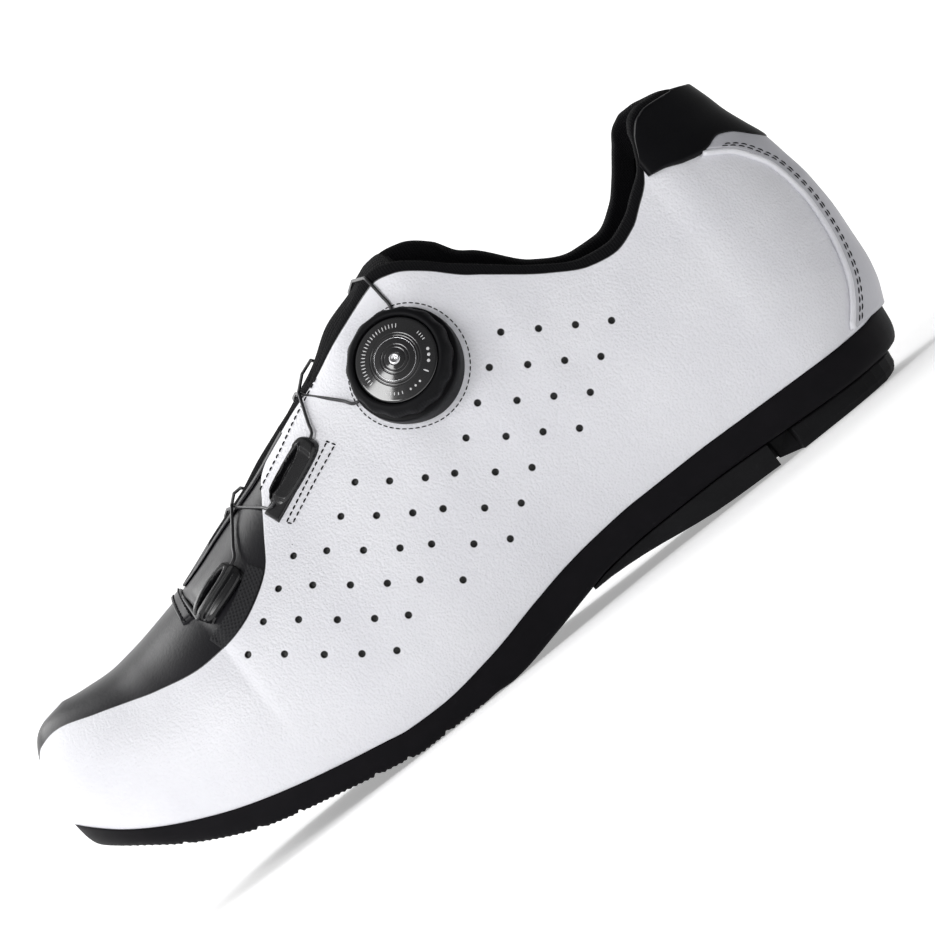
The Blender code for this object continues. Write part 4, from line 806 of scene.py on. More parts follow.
# %% The padded collar
PAD_SPAN, PAD_LOW, PAD_HIGH, PAD_SWELL = 0.40, 0.42, 0.955, 1.1 * MM
pad_turn = around(PAD_SPAN)
pad_q = np.linspace(-pad_turn, pad_turn, 260)[None, :]
pad_v = np.linspace(0, 1, 44)[:, None]
pad_k = PAD_LOW + (PAD_HIGH - PAD_LOW) * pad_v + 0 * pad_q
end_fade = np.clip((pad_turn - np.abs(pad_q)) / 0.06, 0, 1) ** 0.5
swell = np.sin(math.pi * np.clip(pad_v, 0, 1)) ** 0.45 * end_fade
pad_base, pad_out = last_point(pad_q, pad_k), last_normal(pad_q, pad_k)
depth = WALL + (wall_thickness(pad_q, pad_k) - WALL + PAD_SWELL) * swell
pad_front = pad_base - pad_out * depth[..., None]
pad_back = pad_base - pad_out * (0.7 * WALL)
pad_points, pad_quads = sheet_arrays(pad_front, pad_back)
pad_uv = np.concatenate([arc_uv(pad_front).reshape(-1, 2)] * 2)
pad_piece = put_mesh("collar_padding", pad_points, pad_quads, uv=pad_uv, closed=True)
dress(pad_piece, lining_cloth, "insole_cloth", "upper")

# %% [markdown]
# ## The tongue
# A padded tongue of knitted mesh lies under the lacing. Its sides are hidden below the throat's edges, and
# between them it arches up against the laces. It follows the wall's inside, one clearance lower, and a
# quartic bump lifts its middle to the crest's height.

# %% Tongue
TONGUE_COLUMNS = ("along", "crest")
TONGUE_CREST = (
    (0.375, 0.990), (0.388, 1.000), (0.405, 0.997), (0.430, 0.970), (0.475, 0.938), (0.515, 0.880),
    (0.550, 0.842), (0.585, 0.813), (0.620, 0.783), (0.655, 0.746), (0.700, 0.712), (0.730, 0.690),
)
TONGUE_THICKNESS, TONGUE_OPEN, TONGUE_END, TONGUE_DIVE = 4.0 * MM, 0.45, 0.775, 2.0 * MM


def tongue_form(shares, across):
    """The tongue's upper face: the wall's inside one clearance lower, its middle lifted to the crest."""
    q = np.sign(across + 1e-9)[None, :] * around(shares)[:, None]
    size = np.broadcast_to(np.abs(across)[None, :], q.shape)
    k = 0.995 - 0.20 * np.clip((size - TONGUE_OPEN) / (1 - TONGUE_OPEN), 0, 1)
    dive = TONGUE_DIVE * np.clip((shares - THROAT_END + 0.05) / 0.04, 0, 1)[:, None]
    top = last_point(q, k) - last_normal(q, k) * (wall_thickness(q, k) + GAP + 0.7 * MM + dive)[..., None]
    inside = np.clip(size / TONGUE_OPEN, 0, 1)
    middle = np.broadcast_to(centre_line(shares)[:, None], q.shape)
    top[..., 1] = middle + (top[..., 1] - middle) * inside
    crest = TOP_HEIGHT * smooth(TONGUE_COLUMNS, TONGUE_CREST, "crest", shares)[:, None]
    open_part = np.clip((THROAT_END - 0.02 - shares) / 0.03, 0, 1)[:, None]
    top[..., 2] += np.maximum(crest - top[..., 2], 0) * open_part * (1 - inside ** 2) ** 2
    return top, size


tongue_shares = np.linspace(TONGUE_CREST[0][0], TONGUE_END, 150)
tongue_top, tongue_size = tongue_form(tongue_shares, np.linspace(-1, 1, 81))
tongue_out = unit(np.cross(np.gradient(tongue_top, axis=1), np.gradient(tongue_top, axis=0)))
tongue_out *= np.sign(tongue_out[..., 2:3] + 1e-9)
front = np.clip((tongue_shares - tongue_shares[0]) / 0.02, 0, 1)[:, None, None]
round_lip = quarter_round(front)
half_thick = TONGUE_THICKNESS / 2 * (1 - 0.5 * tongue_size[..., None] ** 4)
tongue_middle = tongue_top - tongue_out * half_thick
tongue_reach = tongue_out * half_thick * (0.2 + 0.8 * round_lip)
tongue_points, tongue_quads = sheet_arrays(tongue_middle + tongue_reach, tongue_middle - tongue_reach)
tongue_uv = np.concatenate([arc_uv(tongue_top).reshape(-1, 2)] * 2)
tongue_piece = put_mesh("tongue_cushion", tongue_points, tongue_quads, uv=tongue_uv, closed=True)
dress(tongue_piece, tongue_mesh, "tongue_mesh", "tongue")


# %% [markdown]
# ## Thread, piping and other lines
# A seam is a row of short stitches, each a little sausage of thread that dips into the leather at both
# ends. A piping is a cord under thin leather. Both follow a line that is drawn through a few marks and
# made smooth, then brought onto the shoe's side.

# %% Lines and stitches
def smooth_line(points, count):
    """A line through the points by cubics whose slopes are the neighbours' mean, evenly resampled."""
    points = np.asarray(points, float)
    at = np.concatenate([[0], np.cumsum(np.linalg.norm(np.diff(points, axis=0), axis=1))])
    slope = np.gradient(points, at, axis=0)
    s = np.linspace(0, at[-1], count)
    i = np.clip(np.searchsorted(at, s, side="right") - 1, 0, len(at) - 2)
    h = (at[i + 1] - at[i])[:, None]
    u = (s - at[i])[:, None] / h
    value = points[i] * (1 + 2 * u) * (1 - u) ** 2 + points[i + 1] * u * u * (3 - 2 * u)
    return value + h * (slope[i] * u * (1 - u) ** 2 - slope[i + 1] * u * u * (1 - u))


def side_line(marks, lift, side=-1.0, count=90):
    """Points and normals of a line drawn through side marks in mm, on the form lifted by lift."""
    line = smooth_line(marks, count)
    q, k = on_side((line[:, 0] + MARK_SHIFT) * MM, line[:, 1] * MM, side)
    return panel_form(q, k, lift), last_normal(q, k)


def tube_grid(points, normals, radius, sides=10):
    """Rings round a line: each ring spans the line's sideways and outward directions."""
    ahead = unit(np.gradient(points, axis=0))
    sideways = unit(np.cross(ahead, normals))
    outward = np.cross(sideways, ahead)
    turn = full_turn(sides)
    radius = np.broadcast_to(radius, len(points))[:, None, None]
    ring = sideways[:, None] * np.cos(turn)[:, None] + outward[:, None] * np.sin(turn)[:, None]
    return points[:, None] + ring * radius


def tube(name, points, normals, radius, sides=10):
    """A closed round tube along a line; both ends shrink to a point."""
    radius = np.broadcast_to(radius, len(points)).copy()
    grid = tube_grid(points, normals, radius, sides)
    first, last = np.repeat(points[:1, None], sides, 1), np.repeat(points[-1:, None], sides, 1)
    grid = np.concatenate([first, grid, last])
    length = np.concatenate([[0], np.cumsum(np.linalg.norm(np.diff(points, axis=0), axis=1))])
    v = np.concatenate([[0], length, length[-1:]])[:, None] + np.zeros(sides)
    u = np.broadcast_to(np.arange(sides) / sides * 2 * math.pi * radius.max(), v.shape)
    quads = grid_quads(len(grid), sides, wrap=True)
    return put_mesh(name, grid, quads, uv=np.stack([u, v], -1), closed=True)


THREAD_LIFT = np.array([-1.2, 0.15, 0.6, 0.75, 0.6, 0.15, -1.2])
THREAD_THICK = np.array([0.0, 0.8, 1.0, 1.0, 1.0, 0.8, 0.0])


def seam(name, lines, pitch=2.6 * MM, share=0.80, radius=0.24 * MM):
    """Stitches along lines of (points, normals): seven rings of six points each, swept along the line."""
    stitches = []
    for points, normals in lines:
        at = np.concatenate([[0], np.cumsum(np.linalg.norm(np.diff(points, axis=0), axis=1))])
        count = max(int(at[-1] / pitch), 1)
        middle = (np.arange(count) + 0.5) * at[-1] / count
        s = middle[:, None] + np.linspace(-0.5, 0.5, 7)[None, :] * pitch * share
        centre = np.stack([np.interp(s, at, points[:, i]) for i in range(3)], -1)
        out = unit(np.stack([np.interp(s, at, normals[:, i]) for i in range(3)], -1))
        sideways = unit(np.cross(unit(np.gradient(centre, axis=1)), out))
        centre = centre + out * (radius * THREAD_LIFT)[None, :, None]
        turn = full_turn(6)[:, None]
        ring = sideways[:, :, None] * np.cos(turn) + out[:, :, None] * np.sin(turn)
        stitches.append(centre[:, :, None] + ring * (radius * THREAD_THICK)[None, :, None, None])
    points = np.concatenate(stitches)
    quads = (grid_quads(7, 6, wrap=True)[None] + 42 * np.arange(len(points))[:, None, None]).reshape(-1, 4)
    return put_mesh(name, points, quads)


# %% [markdown]
# ## The heel: counter, piping and patch
# A separate panel wraps the heel. Its front edge is a raised piping, with two rows of black stitches
# behind it. Above it a smooth black patch runs up to the collar, with a waved lower edge that comes down
# to a point at the back. Both lie on the last's form, one leather higher than the side panel.

# %% Counter
COUNTER_COLUMNS = ("height", "front")
COUNTER_EDGE = (
    (0.16, 0.18), (0.20, 0.115), (0.25, 0.055), (0.30, 0.02), (0.37, -0.01), (0.46, -0.025),
    (0.53, -0.012), (0.58, 0.010), (0.62, 0.050), (0.66, 0.105), (0.69, 0.180), (0.715, 0.262),
    (0.735, 0.35),
)
PATCH_COLUMNS = ("along", "lower")
PATCH_EDGE = (
    (0.000, 0.632), (0.006, 0.655), (0.016, 0.695), (0.030, 0.712), (0.045, 0.704),
    (0.070, 0.716), (0.090, 0.735), (0.108, 0.743),
)
COUNTER_BASE = PANEL_STEP + SHEET_GAP
COUNTER_FOOT = (float(feather_height(0.0)) - 0.2 * MM) / TOP_HEIGHT
PIPING_RADIUS, PIPING_LIFT = 0.95 * MM, 0.2 * MM
STITCH_ROWS = (2.3 * MM, 3.7 * MM)


def counter_half(level):
    """q of the counter's front edge on the inner side at heights given as shares of the top height."""
    target = HEEL_X - HEEL_WIDTH * smooth(COUNTER_COLUMNS, COUNTER_EDGE, "front", level)
    low, high = np.full_like(level, 0.02), np.full_like(level, 0.45)
    for _ in range(22):
        middle = (low + high) / 2
        x = last_point(-middle, level_row(-middle, level * TOP_HEIGHT))[..., 0]
        low, high = np.where(x > target, middle, low), np.where(x > target, high, middle)
    return (low + high) / 2


def patch_lower(q):
    """Height of the patch's lower edge."""
    return TOP_HEIGHT * smooth(PATCH_COLUMNS, PATCH_EDGE, "lower", along(q))


def edge_reach(v):
    """q of the counter's front edge at a share v of its height, until height and edge table agree."""
    reach = counter_half(COUNTER_FOOT + (0.70 - COUNTER_FOOT) * v)
    for _ in range(5):
        reach = counter_half(COUNTER_FOOT + (patch_lower(reach) / TOP_HEIGHT - COUNTER_FOOT) * v)
    return reach


counter_low = COUNTER_FOOT * TOP_HEIGHT
counter_v, counter_u = np.linspace(0, 1, 70)[:, None], np.linspace(-1, 1, 181)[None, :]
counter_reach = edge_reach(counter_v[:, 0])
counter_q = counter_reach[:, None] * counter_u
counter_z = counter_low + (patch_lower(counter_q) + 0.8 * MM - counter_low) * counter_v
counter_k = level_row(counter_q, counter_z)
counter_lift = COUNTER_BASE + COUNTER_THICKNESS * np.clip((1 - np.abs(counter_u)) / 0.02, 0.2, 1) ** 0.5
counter_out, counter_base = last_normal(counter_q, counter_k), last_point(counter_q, counter_k)
counter_face = counter_base + counter_out * (counter_lift + 0 * counter_q)[..., None]
counter_points, counter_quads = sheet_arrays(counter_face, counter_base + counter_out * PANEL_STEP * 0.8)
counter_piece = put_mesh("heel_counter_leather", counter_points, counter_quads, closed=True)
dress(counter_piece, counter_leather, "counter_leather", "heel_counter")


# %% Piping and stitches of the counter
def counter_line(behind, lift, sign, low=0.0, high=1.0, count=110):
    """A line up the counter, a distance behind its front edge, on the counter's face."""
    v = np.linspace(low, high, count)
    reach = np.interp(v, counter_v[:, 0], counter_reach)
    z = counter_low + (patch_lower(reach) - counter_low) * v
    k = level_row(sign * reach, z)
    pace = np.linalg.norm(last_point(sign * (reach + 1e-3), k) - last_point(sign * reach, k), axis=-1) / 1e-3
    q = sign * (reach - behind / pace)
    k = level_row(q, z)
    return last_point(q, k) + last_normal(q, k) * lift, last_normal(q, k)


for side_name, sign in (("outer", -1.0), ("inner", 1.0)):
    piping_points, piping_out = counter_line(0.0, COUNTER_BASE + PIPING_LIFT, sign)
    piping = tube("counter_piping_" + side_name, piping_points, piping_out, PIPING_RADIUS, 12)
    dress(piping, white_leather, "counter_leather", "heel_counter")
face_lift = COUNTER_BASE + COUNTER_THICKNESS
counter_seams = [counter_line(behind, face_lift, sign, 0.01, 0.97)
                 for sign in (-1.0, 1.0) for behind in STITCH_ROWS]
counter_stitches = seam("counter_seams", counter_seams, 2.7 * MM, 0.93, 0.19 * MM)
dress(counter_stitches, black_thread, "counter_leather", "heel_counter")

# %% Patch
PATCH_TOP, PATCH_LOWEST_TOP = 0.992, 0.972
patch_reach = around(np.array([PATCH_EDGE[-1][0]]))[0]
patch_u, patch_v = np.linspace(-1, 1, 201)[None, :], np.linspace(0, 1, 60)[:, None]
patch_q = patch_reach * patch_u + 0 * patch_v
patch_low = np.minimum(level_row(patch_q[0], patch_lower(patch_q[0])), PATCH_LOWEST_TOP)
patch_k = patch_low[None, :] + (PATCH_TOP - patch_low[None, :]) * patch_v
side_round = np.clip((1 - np.abs(patch_u)) / 0.03, 0, 1)
end_round = np.clip(np.minimum(patch_v / 0.03, (1 - patch_v) / 0.04), 0, 1)
rounded = quarter_round(np.minimum(side_round, end_round))
patch_lift = COUNTER_BASE + PATCH_THICKNESS * (0.25 + 0.95 * rounded)
patch_base, patch_out = last_point(patch_q, patch_k), last_normal(patch_q, patch_k)
patch_points, patch_quads = sheet_arrays(patch_base + patch_out * patch_lift[..., None],
                                         patch_base + patch_out * 0.2 * MM)
patch_piece = put_mesh("heel_patch_leather", patch_points, patch_quads, closed=True)
dress(patch_piece, patch_leather, "patch_leather", "heel_patch")

# %% [markdown]
# ## The sole unit
# The outsole is one moulding: a thin lip at the feather line, a side that leans in, and a tread face with
# fine ribs across the ball and toe that show as small teeth in the side view. It is lofted lengthways:
# each station is one ring, made of the foot's outline moved inwards by the profile's insets.

# %% The sole as a loft of rings
def outline(q, inset):
    """Plan of the feather line moved inwards: the outline's own sideways direction times the inset."""
    share, size = along(q), np.abs(q)
    side = np.where(q < 0, -1.0, 1.0)
    near, far = along(np.clip(size - 1e-4, 0, 1)), along(np.clip(size + 1e-4, 0, 1))
    dx = -(far - near) * LAST_LENGTH
    dy = centre_line(far) - centre_line(near) + side * (half_width(far) - half_width(near))
    ends = (share < 1e-9) | (share > 1 - 1e-9)
    dx = np.where(ends, 0.0, dx)
    length = np.maximum(np.hypot(dx, dy), 1e-15)
    out_x, out_y = side * dy / length, -side * dx / length
    out_x = np.where(share < 1e-9, 1.0, np.where(share > 1 - 1e-9, -1.0, out_x))
    x, y = HEEL_X - share * LAST_LENGTH, centre_line(share) + side * half_width(share)
    return x - out_x * inset, y - np.where(ends, 0.0, out_y) * inset


TREAD_PITCH, TREAD_DEPTH, GROOVE_DEPTH, GROOVE_WIDTH = 1.8 * MM, 0.45 * MM, 0.8 * MM, 0.7 * MM
TREAD_BACK, TREAD_FRONT = -118 * MM, -245 * MM
TREAD_STEPS = (-226.5, -206.5, -194.5, -170.5, -160.5, -147.0)


def tread(x):
    """How far the tread face is cut in: a saw tooth of ribs over the forefoot, and a few wider grooves."""
    ribs = TREAD_DEPTH * np.abs(2 * ((x / TREAD_PITCH) % 1.0) - 1)
    fore = np.clip((TREAD_BACK - x) / (10 * MM), 0, 1) * np.clip((x - TREAD_FRONT) / (8 * MM), 0, 1)
    grooves = sum(GROOVE_DEPTH * np.exp(-((x - step * MM) / GROOVE_WIDTH) ** 2) for step in TREAD_STEPS)
    return (ribs + grooves) * fore


sole_shares = along(np.concatenate([np.linspace(0, 0.55, 150), np.linspace(0.5525, 0.90, 330),
                                    np.linspace(0.902, 1, 60)]))
tuck = SOLE_TUCK + (HEEL_TUCK - SOLE_TUCK) * np.clip(1 - sole_shares / HEEL_FADE, 0, 1)
# Inset in mm, share of the side's lean, and share of the sole's height.
SOLE_PROFILE = (
    (5.0, 0.00, 1.00), (0.45, 0.00, 1.00), (0.12, 0.00, 0.99), (0.00, 0.00, 0.96), (0.00, 0.03, 0.86),
    (0.00, 0.08, 0.70), (0.00, 0.14, 0.55), (0.00, 0.20, 0.42), (0.00, 0.32, 0.29), (0.00, 0.46, 0.18),
    (0.00, 0.64, 0.09), (0.15, 0.82, 0.03), (0.80, 1.00, 0.00),
)
sole_sides = {}
for sign in (-1.0, 1.0):
    ring = []
    for lip, lean, level in SOLE_PROFILE:
        x, y = outline(sign * np.maximum(around(sole_shares), 1e-9), -SOLE_LIP + lip * MM + lean * tuck)
        share = (HEEL_X - x) / LAST_LENGTH
        low, high = under_height(share), feather_height(share) - GAP
        z = low + level * (high - low) + tread(x) * max(1 - 6 * level, 0)
        ring.append(np.stack([x, y, z], -1))
    sole_sides[sign] = np.stack(ring, 1)
across = np.linspace(0, 1, 26)[1:-1, None]
left_edge, right_edge = sole_sides[-1.0][:, -1, None], sole_sides[1.0][:, -1, None]
floor_face = left_edge + (right_edge - left_edge) * across
floor_share = (HEEL_X - floor_face[..., 0]) / LAST_LENGTH
floor_face[..., 2] = under_height(floor_share) + tread(floor_face[..., 0])
sole_grid = np.concatenate([sole_sides[-1.0], floor_face, sole_sides[1.0][:, ::-1]], axis=1)
sole_quads = grid_quads(*sole_grid.shape[:2], wrap=True)
sole_piece = put_mesh("sole_moulding", sole_grid, sole_quads, closed=True)
dress(sole_piece, sole_rubber, "sole_rubber", "outsole")

# %% [markdown]
# ## Blocks and insole
# The two rubber blocks under arch and heel have the right shape already, so the CAD nodes stay. A glTF
# mesh is loose triangles, so a Weld modifier joins them and a Bevel breaks the sharp edges, as a mould
# does. A recessed web of the same rubber joins them. The insole stays as well, with a cloth finish.

# %% Carried-over nodes
CARRIED_OVER = (("heel_block", block_rubber, 0.5 * MM), ("midfoot_block", block_rubber, 0.5 * MM),
                ("insole", insole_cloth, 0.4 * MM))
for name, material, width in CARRIED_OVER:
    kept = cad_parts[name]
    kept.data.materials.clear()
    kept.data.materials.append(material)
    weld = kept.modifiers.new("joined", "WELD")
    weld.merge_threshold = 1e-5
    round_over = kept.modifiers.new("rounded", "BEVEL")
    round_over.width, round_over.segments = width, 2
    round_over.limit_method, round_over.angle_limit = "ANGLE", math.radians(28)
    print(name, "kept with", material.name)

# %% The web between the blocks
WEB_SPAN, WEB_INSET, WEB_LOW, WEB_BEND = (-20.5, -26.5), 8.0 * MM, 2.7 * MM, 1.2 * MM
web_x = np.linspace(*WEB_SPAN, 7) * MM
web_share = (HEEL_X - web_x) / LAST_LENGTH
web_y = [outline(sign * around(web_share), WEB_INSET)[1] for sign in (-1.0, 1.0)]
web_top, web_low = under_height(web_share) - 0.2 * MM, WEB_LOW + 0 * web_x
web_corners = ((web_y[0], web_top), (web_y[0], web_low + WEB_BEND), (web_y[0] + WEB_BEND, web_low),
               (web_y[1] - WEB_BEND, web_low), (web_y[1], web_low + WEB_BEND), (web_y[1], web_top))
web_ring = np.stack([np.stack([web_x, y, z], -1) for y, z in web_corners], 1)
web_ends = [np.repeat(web_ring[i, :, :].mean(0)[None, None], 6, 1) for i in (0, -1)]
web_grid = np.concatenate([web_ends[0], web_ring, web_ends[1]])
web_piece = put_mesh("block_web", web_grid, grid_quads(len(web_grid), 6, wrap=True), closed=True)
dress(web_piece, block_rubber, "block_rubber")

# %% [markdown]
# ## The dial
# The dial is a knob on a spool. Its base is a flange that fits the upper, a rubber ring with shallow lobes
# and fine ribs gives grip, and a glossy cone with turned grooves and a bright pin closes it. Each is a
# profile of radius and height turned about the dial's own axis. The base's foot is laid on the leather.

# %% The dial's axes
DIAL_RADIUS, DIAL_HEIGHT, CAP_HEIGHT, HUB_RADIUS = 16.0 * MM, 12.0 * MM, 3.6 * MM, 12.8 * MM
DIAL_ALONG, DIAL_UP, DIAL_TOE_TURN, DIAL_UP_TURN = 0.429, 0.742, math.radians(8.7), math.radians(23.5)
dial_q = -around(np.array(DIAL_ALONG))
dial_k = level_row(dial_q, DIAL_UP * TOP_HEIGHT)
dial_spot = last_point(dial_q, dial_k)
flat = math.cos(DIAL_UP_TURN)
dial_axis = np.array([-math.sin(DIAL_TOE_TURN) * flat, -math.cos(DIAL_TOE_TURN) * flat,
                      math.sin(DIAL_UP_TURN)])
dial_up = unit(np.array([0.0, 0.0, 1.0]) - dial_axis * dial_axis[2])
dial_across = np.cross(dial_up, dial_axis)


def node_points(name):
    """All corners of a CAD node."""
    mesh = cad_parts[name].data
    co = np.zeros(len(mesh.vertices) * 3, np.float32)
    mesh.vertices.foreach_get("co", co)
    return co.reshape(-1, 3).astype(float)


dial_deck = float((node_points("dial_grip") - dial_spot).dot(dial_axis).min()) - GAP
print("dial at", np.round(dial_spot / MM, 1), "deck", round(dial_deck / MM, 2), "mm above the leather")


def turned(name, profile, sides=96, wave=None):
    """A profile of (radius, height) turned about the dial's axis; wave changes the radius by angle."""
    profile = np.asarray(profile, float)
    turn = full_turn(sides)
    radius = profile[:, 0, None] + (wave(profile, turn) if wave else 0.0)
    ring = dial_across * np.cos(turn)[:, None] + dial_up * np.sin(turn)[:, None]
    grid = dial_spot + radius[..., None] * ring[None] + profile[:, 1, None, None] * dial_axis
    return put_mesh(name, grid, grid_quads(len(profile), sides, wrap=True), closed=True)


# %% The dial's base
FLANGE, BASE_SIDES = 0.9 * MM, 120
base_radius, base_turn = DIAL_RADIUS + FLANGE, full_turn(BASE_SIDES)
foot_q, foot_k = lay_on(dial_q, dial_k, dial_across, dial_up,
                        base_radius * np.cos(base_turn), base_radius * np.sin(base_turn))
foot = panel_form(foot_q, foot_k, 0.3 * MM)
base_ring = dial_across * np.cos(base_turn)[:, None] + dial_up * np.sin(base_turn)[:, None]
base_rows = [dial_spot + 0 * base_ring, foot]
for radius, height in ((base_radius, dial_deck - 0.5 * MM), (base_radius - 0.15 * MM, dial_deck - 0.15 * MM),
                       (base_radius - 0.5 * MM, dial_deck), (HUB_RADIUS, dial_deck),
                       (HUB_RADIUS, DIAL_HEIGHT - CAP_HEIGHT), (0.0, DIAL_HEIGHT - CAP_HEIGHT)):
    base_rows.append(dial_spot + base_ring * radius + dial_axis * height)
base_quads = grid_quads(len(base_rows), BASE_SIDES, wrap=True)
base_piece = put_mesh("dial_housing", np.array(base_rows), base_quads, closed=True)
dress(base_piece, dial_plastic, "dial_plastic", "dial_base")


# %% Grip ring, cap and pin
LOBES, GRIP_RIBS, LOBE_DEPTH, RIB_DEPTH = 14, 112, 0.22 * MM, 0.03 * MM


def grip_wave(profile, turn):
    """Fourteen shallow lobes and fine ribs between them, only on the outer side of the ring."""
    outer = np.clip((profile[:, 0] - 0.93 * DIAL_RADIUS) / (0.05 * DIAL_RADIUS), 0, 1)[:, None]
    return outer * (LOBE_DEPTH * np.cos(LOBES * turn) + RIB_DEPTH * np.cos(GRIP_RIBS * turn))[None, :]


foot_h, head_h = dial_deck + GAP, DIAL_HEIGHT - 0.25 * CAP_HEIGHT
bore = HUB_RADIUS + GAP
grip_profile = [(bore, foot_h), (0.95 * DIAL_RADIUS, foot_h), (0.985 * DIAL_RADIUS, foot_h + 0.04 * head_h),
                (DIAL_RADIUS, foot_h + 0.18 * head_h), (DIAL_RADIUS, 0.72 * head_h),
                (0.985 * DIAL_RADIUS, 0.82 * head_h), (0.955 * DIAL_RADIUS, 0.92 * head_h),
                (0.92 * DIAL_RADIUS, 0.975 * head_h), (0.88 * DIAL_RADIUS, head_h),
                (bore + 0.3 * MM, head_h), (bore, head_h - 0.3 * MM), (bore, foot_h)]
dress(turned("dial_grip_ring", grip_profile, 384, grip_wave), grip_rubber, "grip_rubber", "dial_grip")

cap_low, cap_edge = DIAL_HEIGHT - CAP_HEIGHT, DIAL_HEIGHT - 0.45 * CAP_HEIGHT
cap_radius = np.linspace(HUB_RADIUS - 0.8 * MM, 1.9 * MM, 90)
cap_slope = cap_edge + 0.25 * MM + (DIAL_HEIGHT - cap_edge) * (1 - cap_radius / HUB_RADIUS) * 0.9
CAP_GROOVES, CAP_GROOVE_DEPTH = (7.7, 6.9, 4.3, 3.3), 0.14 * MM
for groove in CAP_GROOVES:
    cap_slope = cap_slope - CAP_GROOVE_DEPTH * np.exp(-((cap_radius / MM - groove) / 0.13) ** 2)
cap_profile = [(0.0, cap_low), (HUB_RADIUS, cap_low), (HUB_RADIUS, cap_edge - 0.3 * MM),
               (HUB_RADIUS - 0.1 * MM, cap_edge), (HUB_RADIUS - 0.35 * MM, cap_edge + 0.2 * MM)]
cap_foot = cap_slope[-1] - 0.4 * MM
cap_profile += list(zip(cap_radius, cap_slope)) + [(1.85 * MM, cap_foot), (0.0, cap_foot)]
dress(turned("dial_cap_cone", cap_profile, 128), cap_gloss, "cap_plastic", "dial_cap")
pin_top = cap_slope[-1]
PIN_PROFILE = ((0.0, -0.5), (1.75, -0.5), (1.75, 0.15), (1.5, 0.4), (0.95, 0.45), (0.8, 0.1), (0.0, 0.0))
pin_profile = [(radius * MM, pin_top + height * MM) for radius, height in PIN_PROFILE]
dress(turned("dial_pin", pin_profile, 48), bright_steel, "cap_plastic", "dial_cap")

# %% Scale, ring and seam round the dial
# Each mark has its angle, its inner and outer radius in mm and half of its width in degrees.
TICKS = [(turn, 9.3, 10.7, 0.9) for turn in range(56, 190, 6)]
TICKS += [(turn, 9.6, 10.6, 0.9) for turn in (14, 9, 4, -1, -112, -119, -126, -133, -140)]
TICKS += [(turn, 9.6, 10.6, 2.8) for turn in (-20, -30, -40)] + [(-57, 9.2, 11.0, 1.3)]
TICKS += [(turn, 9.8, 10.5, 1.9) for turn in (-77, -87, -97)]


def cone_height(radius):
    """Height of the cap's cone at a radius."""
    return np.interp(radius, cap_radius[::-1], cap_slope[::-1])


patch_a, patch_b = np.meshgrid(np.linspace(-1, 1, 9), np.linspace(-1, 1, 9), indexing="ij")
round_a = patch_a * np.sqrt(1 - 0.5 * patch_b ** 2)
round_b = patch_b * np.sqrt(1 - 0.5 * patch_a ** 2)
tick_points, tick_quads = [], []
for turn, low, high, half in TICKS:
    reach = ((low + high) / 2 + (high - low) / 2 * round_b) * MM
    angle = np.radians(turn + half * round_a)
    rise = cone_height(reach) + 0.07 * MM * (1 - np.maximum(patch_a ** 8, patch_b ** 8)) - 0.01 * MM
    spoke = dial_across * np.cos(angle)[..., None] + dial_up * np.sin(angle)[..., None]
    tick_quads.append(grid_quads(9, 9)[:, ::-1] + 81 * len(tick_points))
    tick_points.append(dial_spot + spoke * reach[..., None] + dial_axis * rise[..., None])
ticks_piece = put_mesh("dial_scale_marks", np.array(tick_points), np.concatenate(tick_quads))
dress(ticks_piece, mark_paint, "cap_plastic", "dial_cap")

RING_RADIUS, DIAL_SEAM_RADIUS = 6.35 * MM, 18.3 * MM
ring_turn = full_turn(8)
ring_profile = np.stack([RING_RADIUS + 0.09 * MM * np.cos(ring_turn),
                         cone_height(RING_RADIUS) + 0.07 * MM * np.sin(ring_turn)], -1)
dress(turned("dial_bright_ring", np.concatenate([ring_profile, ring_profile[:1]]), 128), bright_steel,
      "cap_plastic", "dial_cap")

seam_turn = np.radians(np.linspace(0, 360, 181))
seam_q, seam_k = lay_on(dial_q, dial_k, dial_across, dial_up,
                        DIAL_SEAM_RADIUS * np.cos(seam_turn), DIAL_SEAM_RADIUS * np.sin(seam_turn))
dial_seam = [(panel_form(seam_q, seam_k), last_normal(seam_q, seam_k))]
dress(seam("dial_seam", dial_seam, 1.9 * MM, 0.92, 0.17 * MM), black_thread, "white_leather", "upper")
print(len(TICKS), "marks on the cap")

# %% [markdown]
# ## Lace guides
# Each guide is a moulding sewn to the upper, with a long sunk loop that the wire slides in. Its height over
# the leather is a function of the place on the guide. The upper ones are blocks whose channel lies near the
# throat and whose outer face slopes away. The lower ones are a raised U of grey plastic round a dark slot,
# with a second, lower step beside it.

# %% Guides as height over the leather
# Each guide has its share along, share of the height, side and slope, then its length and width in mm.
GUIDES = {
    "medial_top": (0.462, 0.850, 1.0, 24.0, 17.0, 9.0),
    "medial_upper": (0.590, 0.706, 1.0, 23.5, 22.5, 9.0),
    "medial_lower": (0.730, 0.597, 1.0, 20.0, 18.0, 11.0),
    "lateral_upper": (0.590, 0.706, -1.0, 23.5, 22.5, 9.0),
    "lateral_lower": (0.730, 0.597, -1.0, 20.0, 18.0, 11.0),
}
guide_places = {}


def soft_step(value, width):
    """Zero below, one above, smooth over width."""
    return 1 / (1 + np.exp(-value / (0.2 * width)))


def body(a, b, share):
    """Rounded plateau: a quarter circle of the given share along its edge."""
    return quarter_round(np.clip((1 - (np.abs(a) ** 8 + np.abs(b) ** 6) ** (1 / 7)) / share, 0, 1))


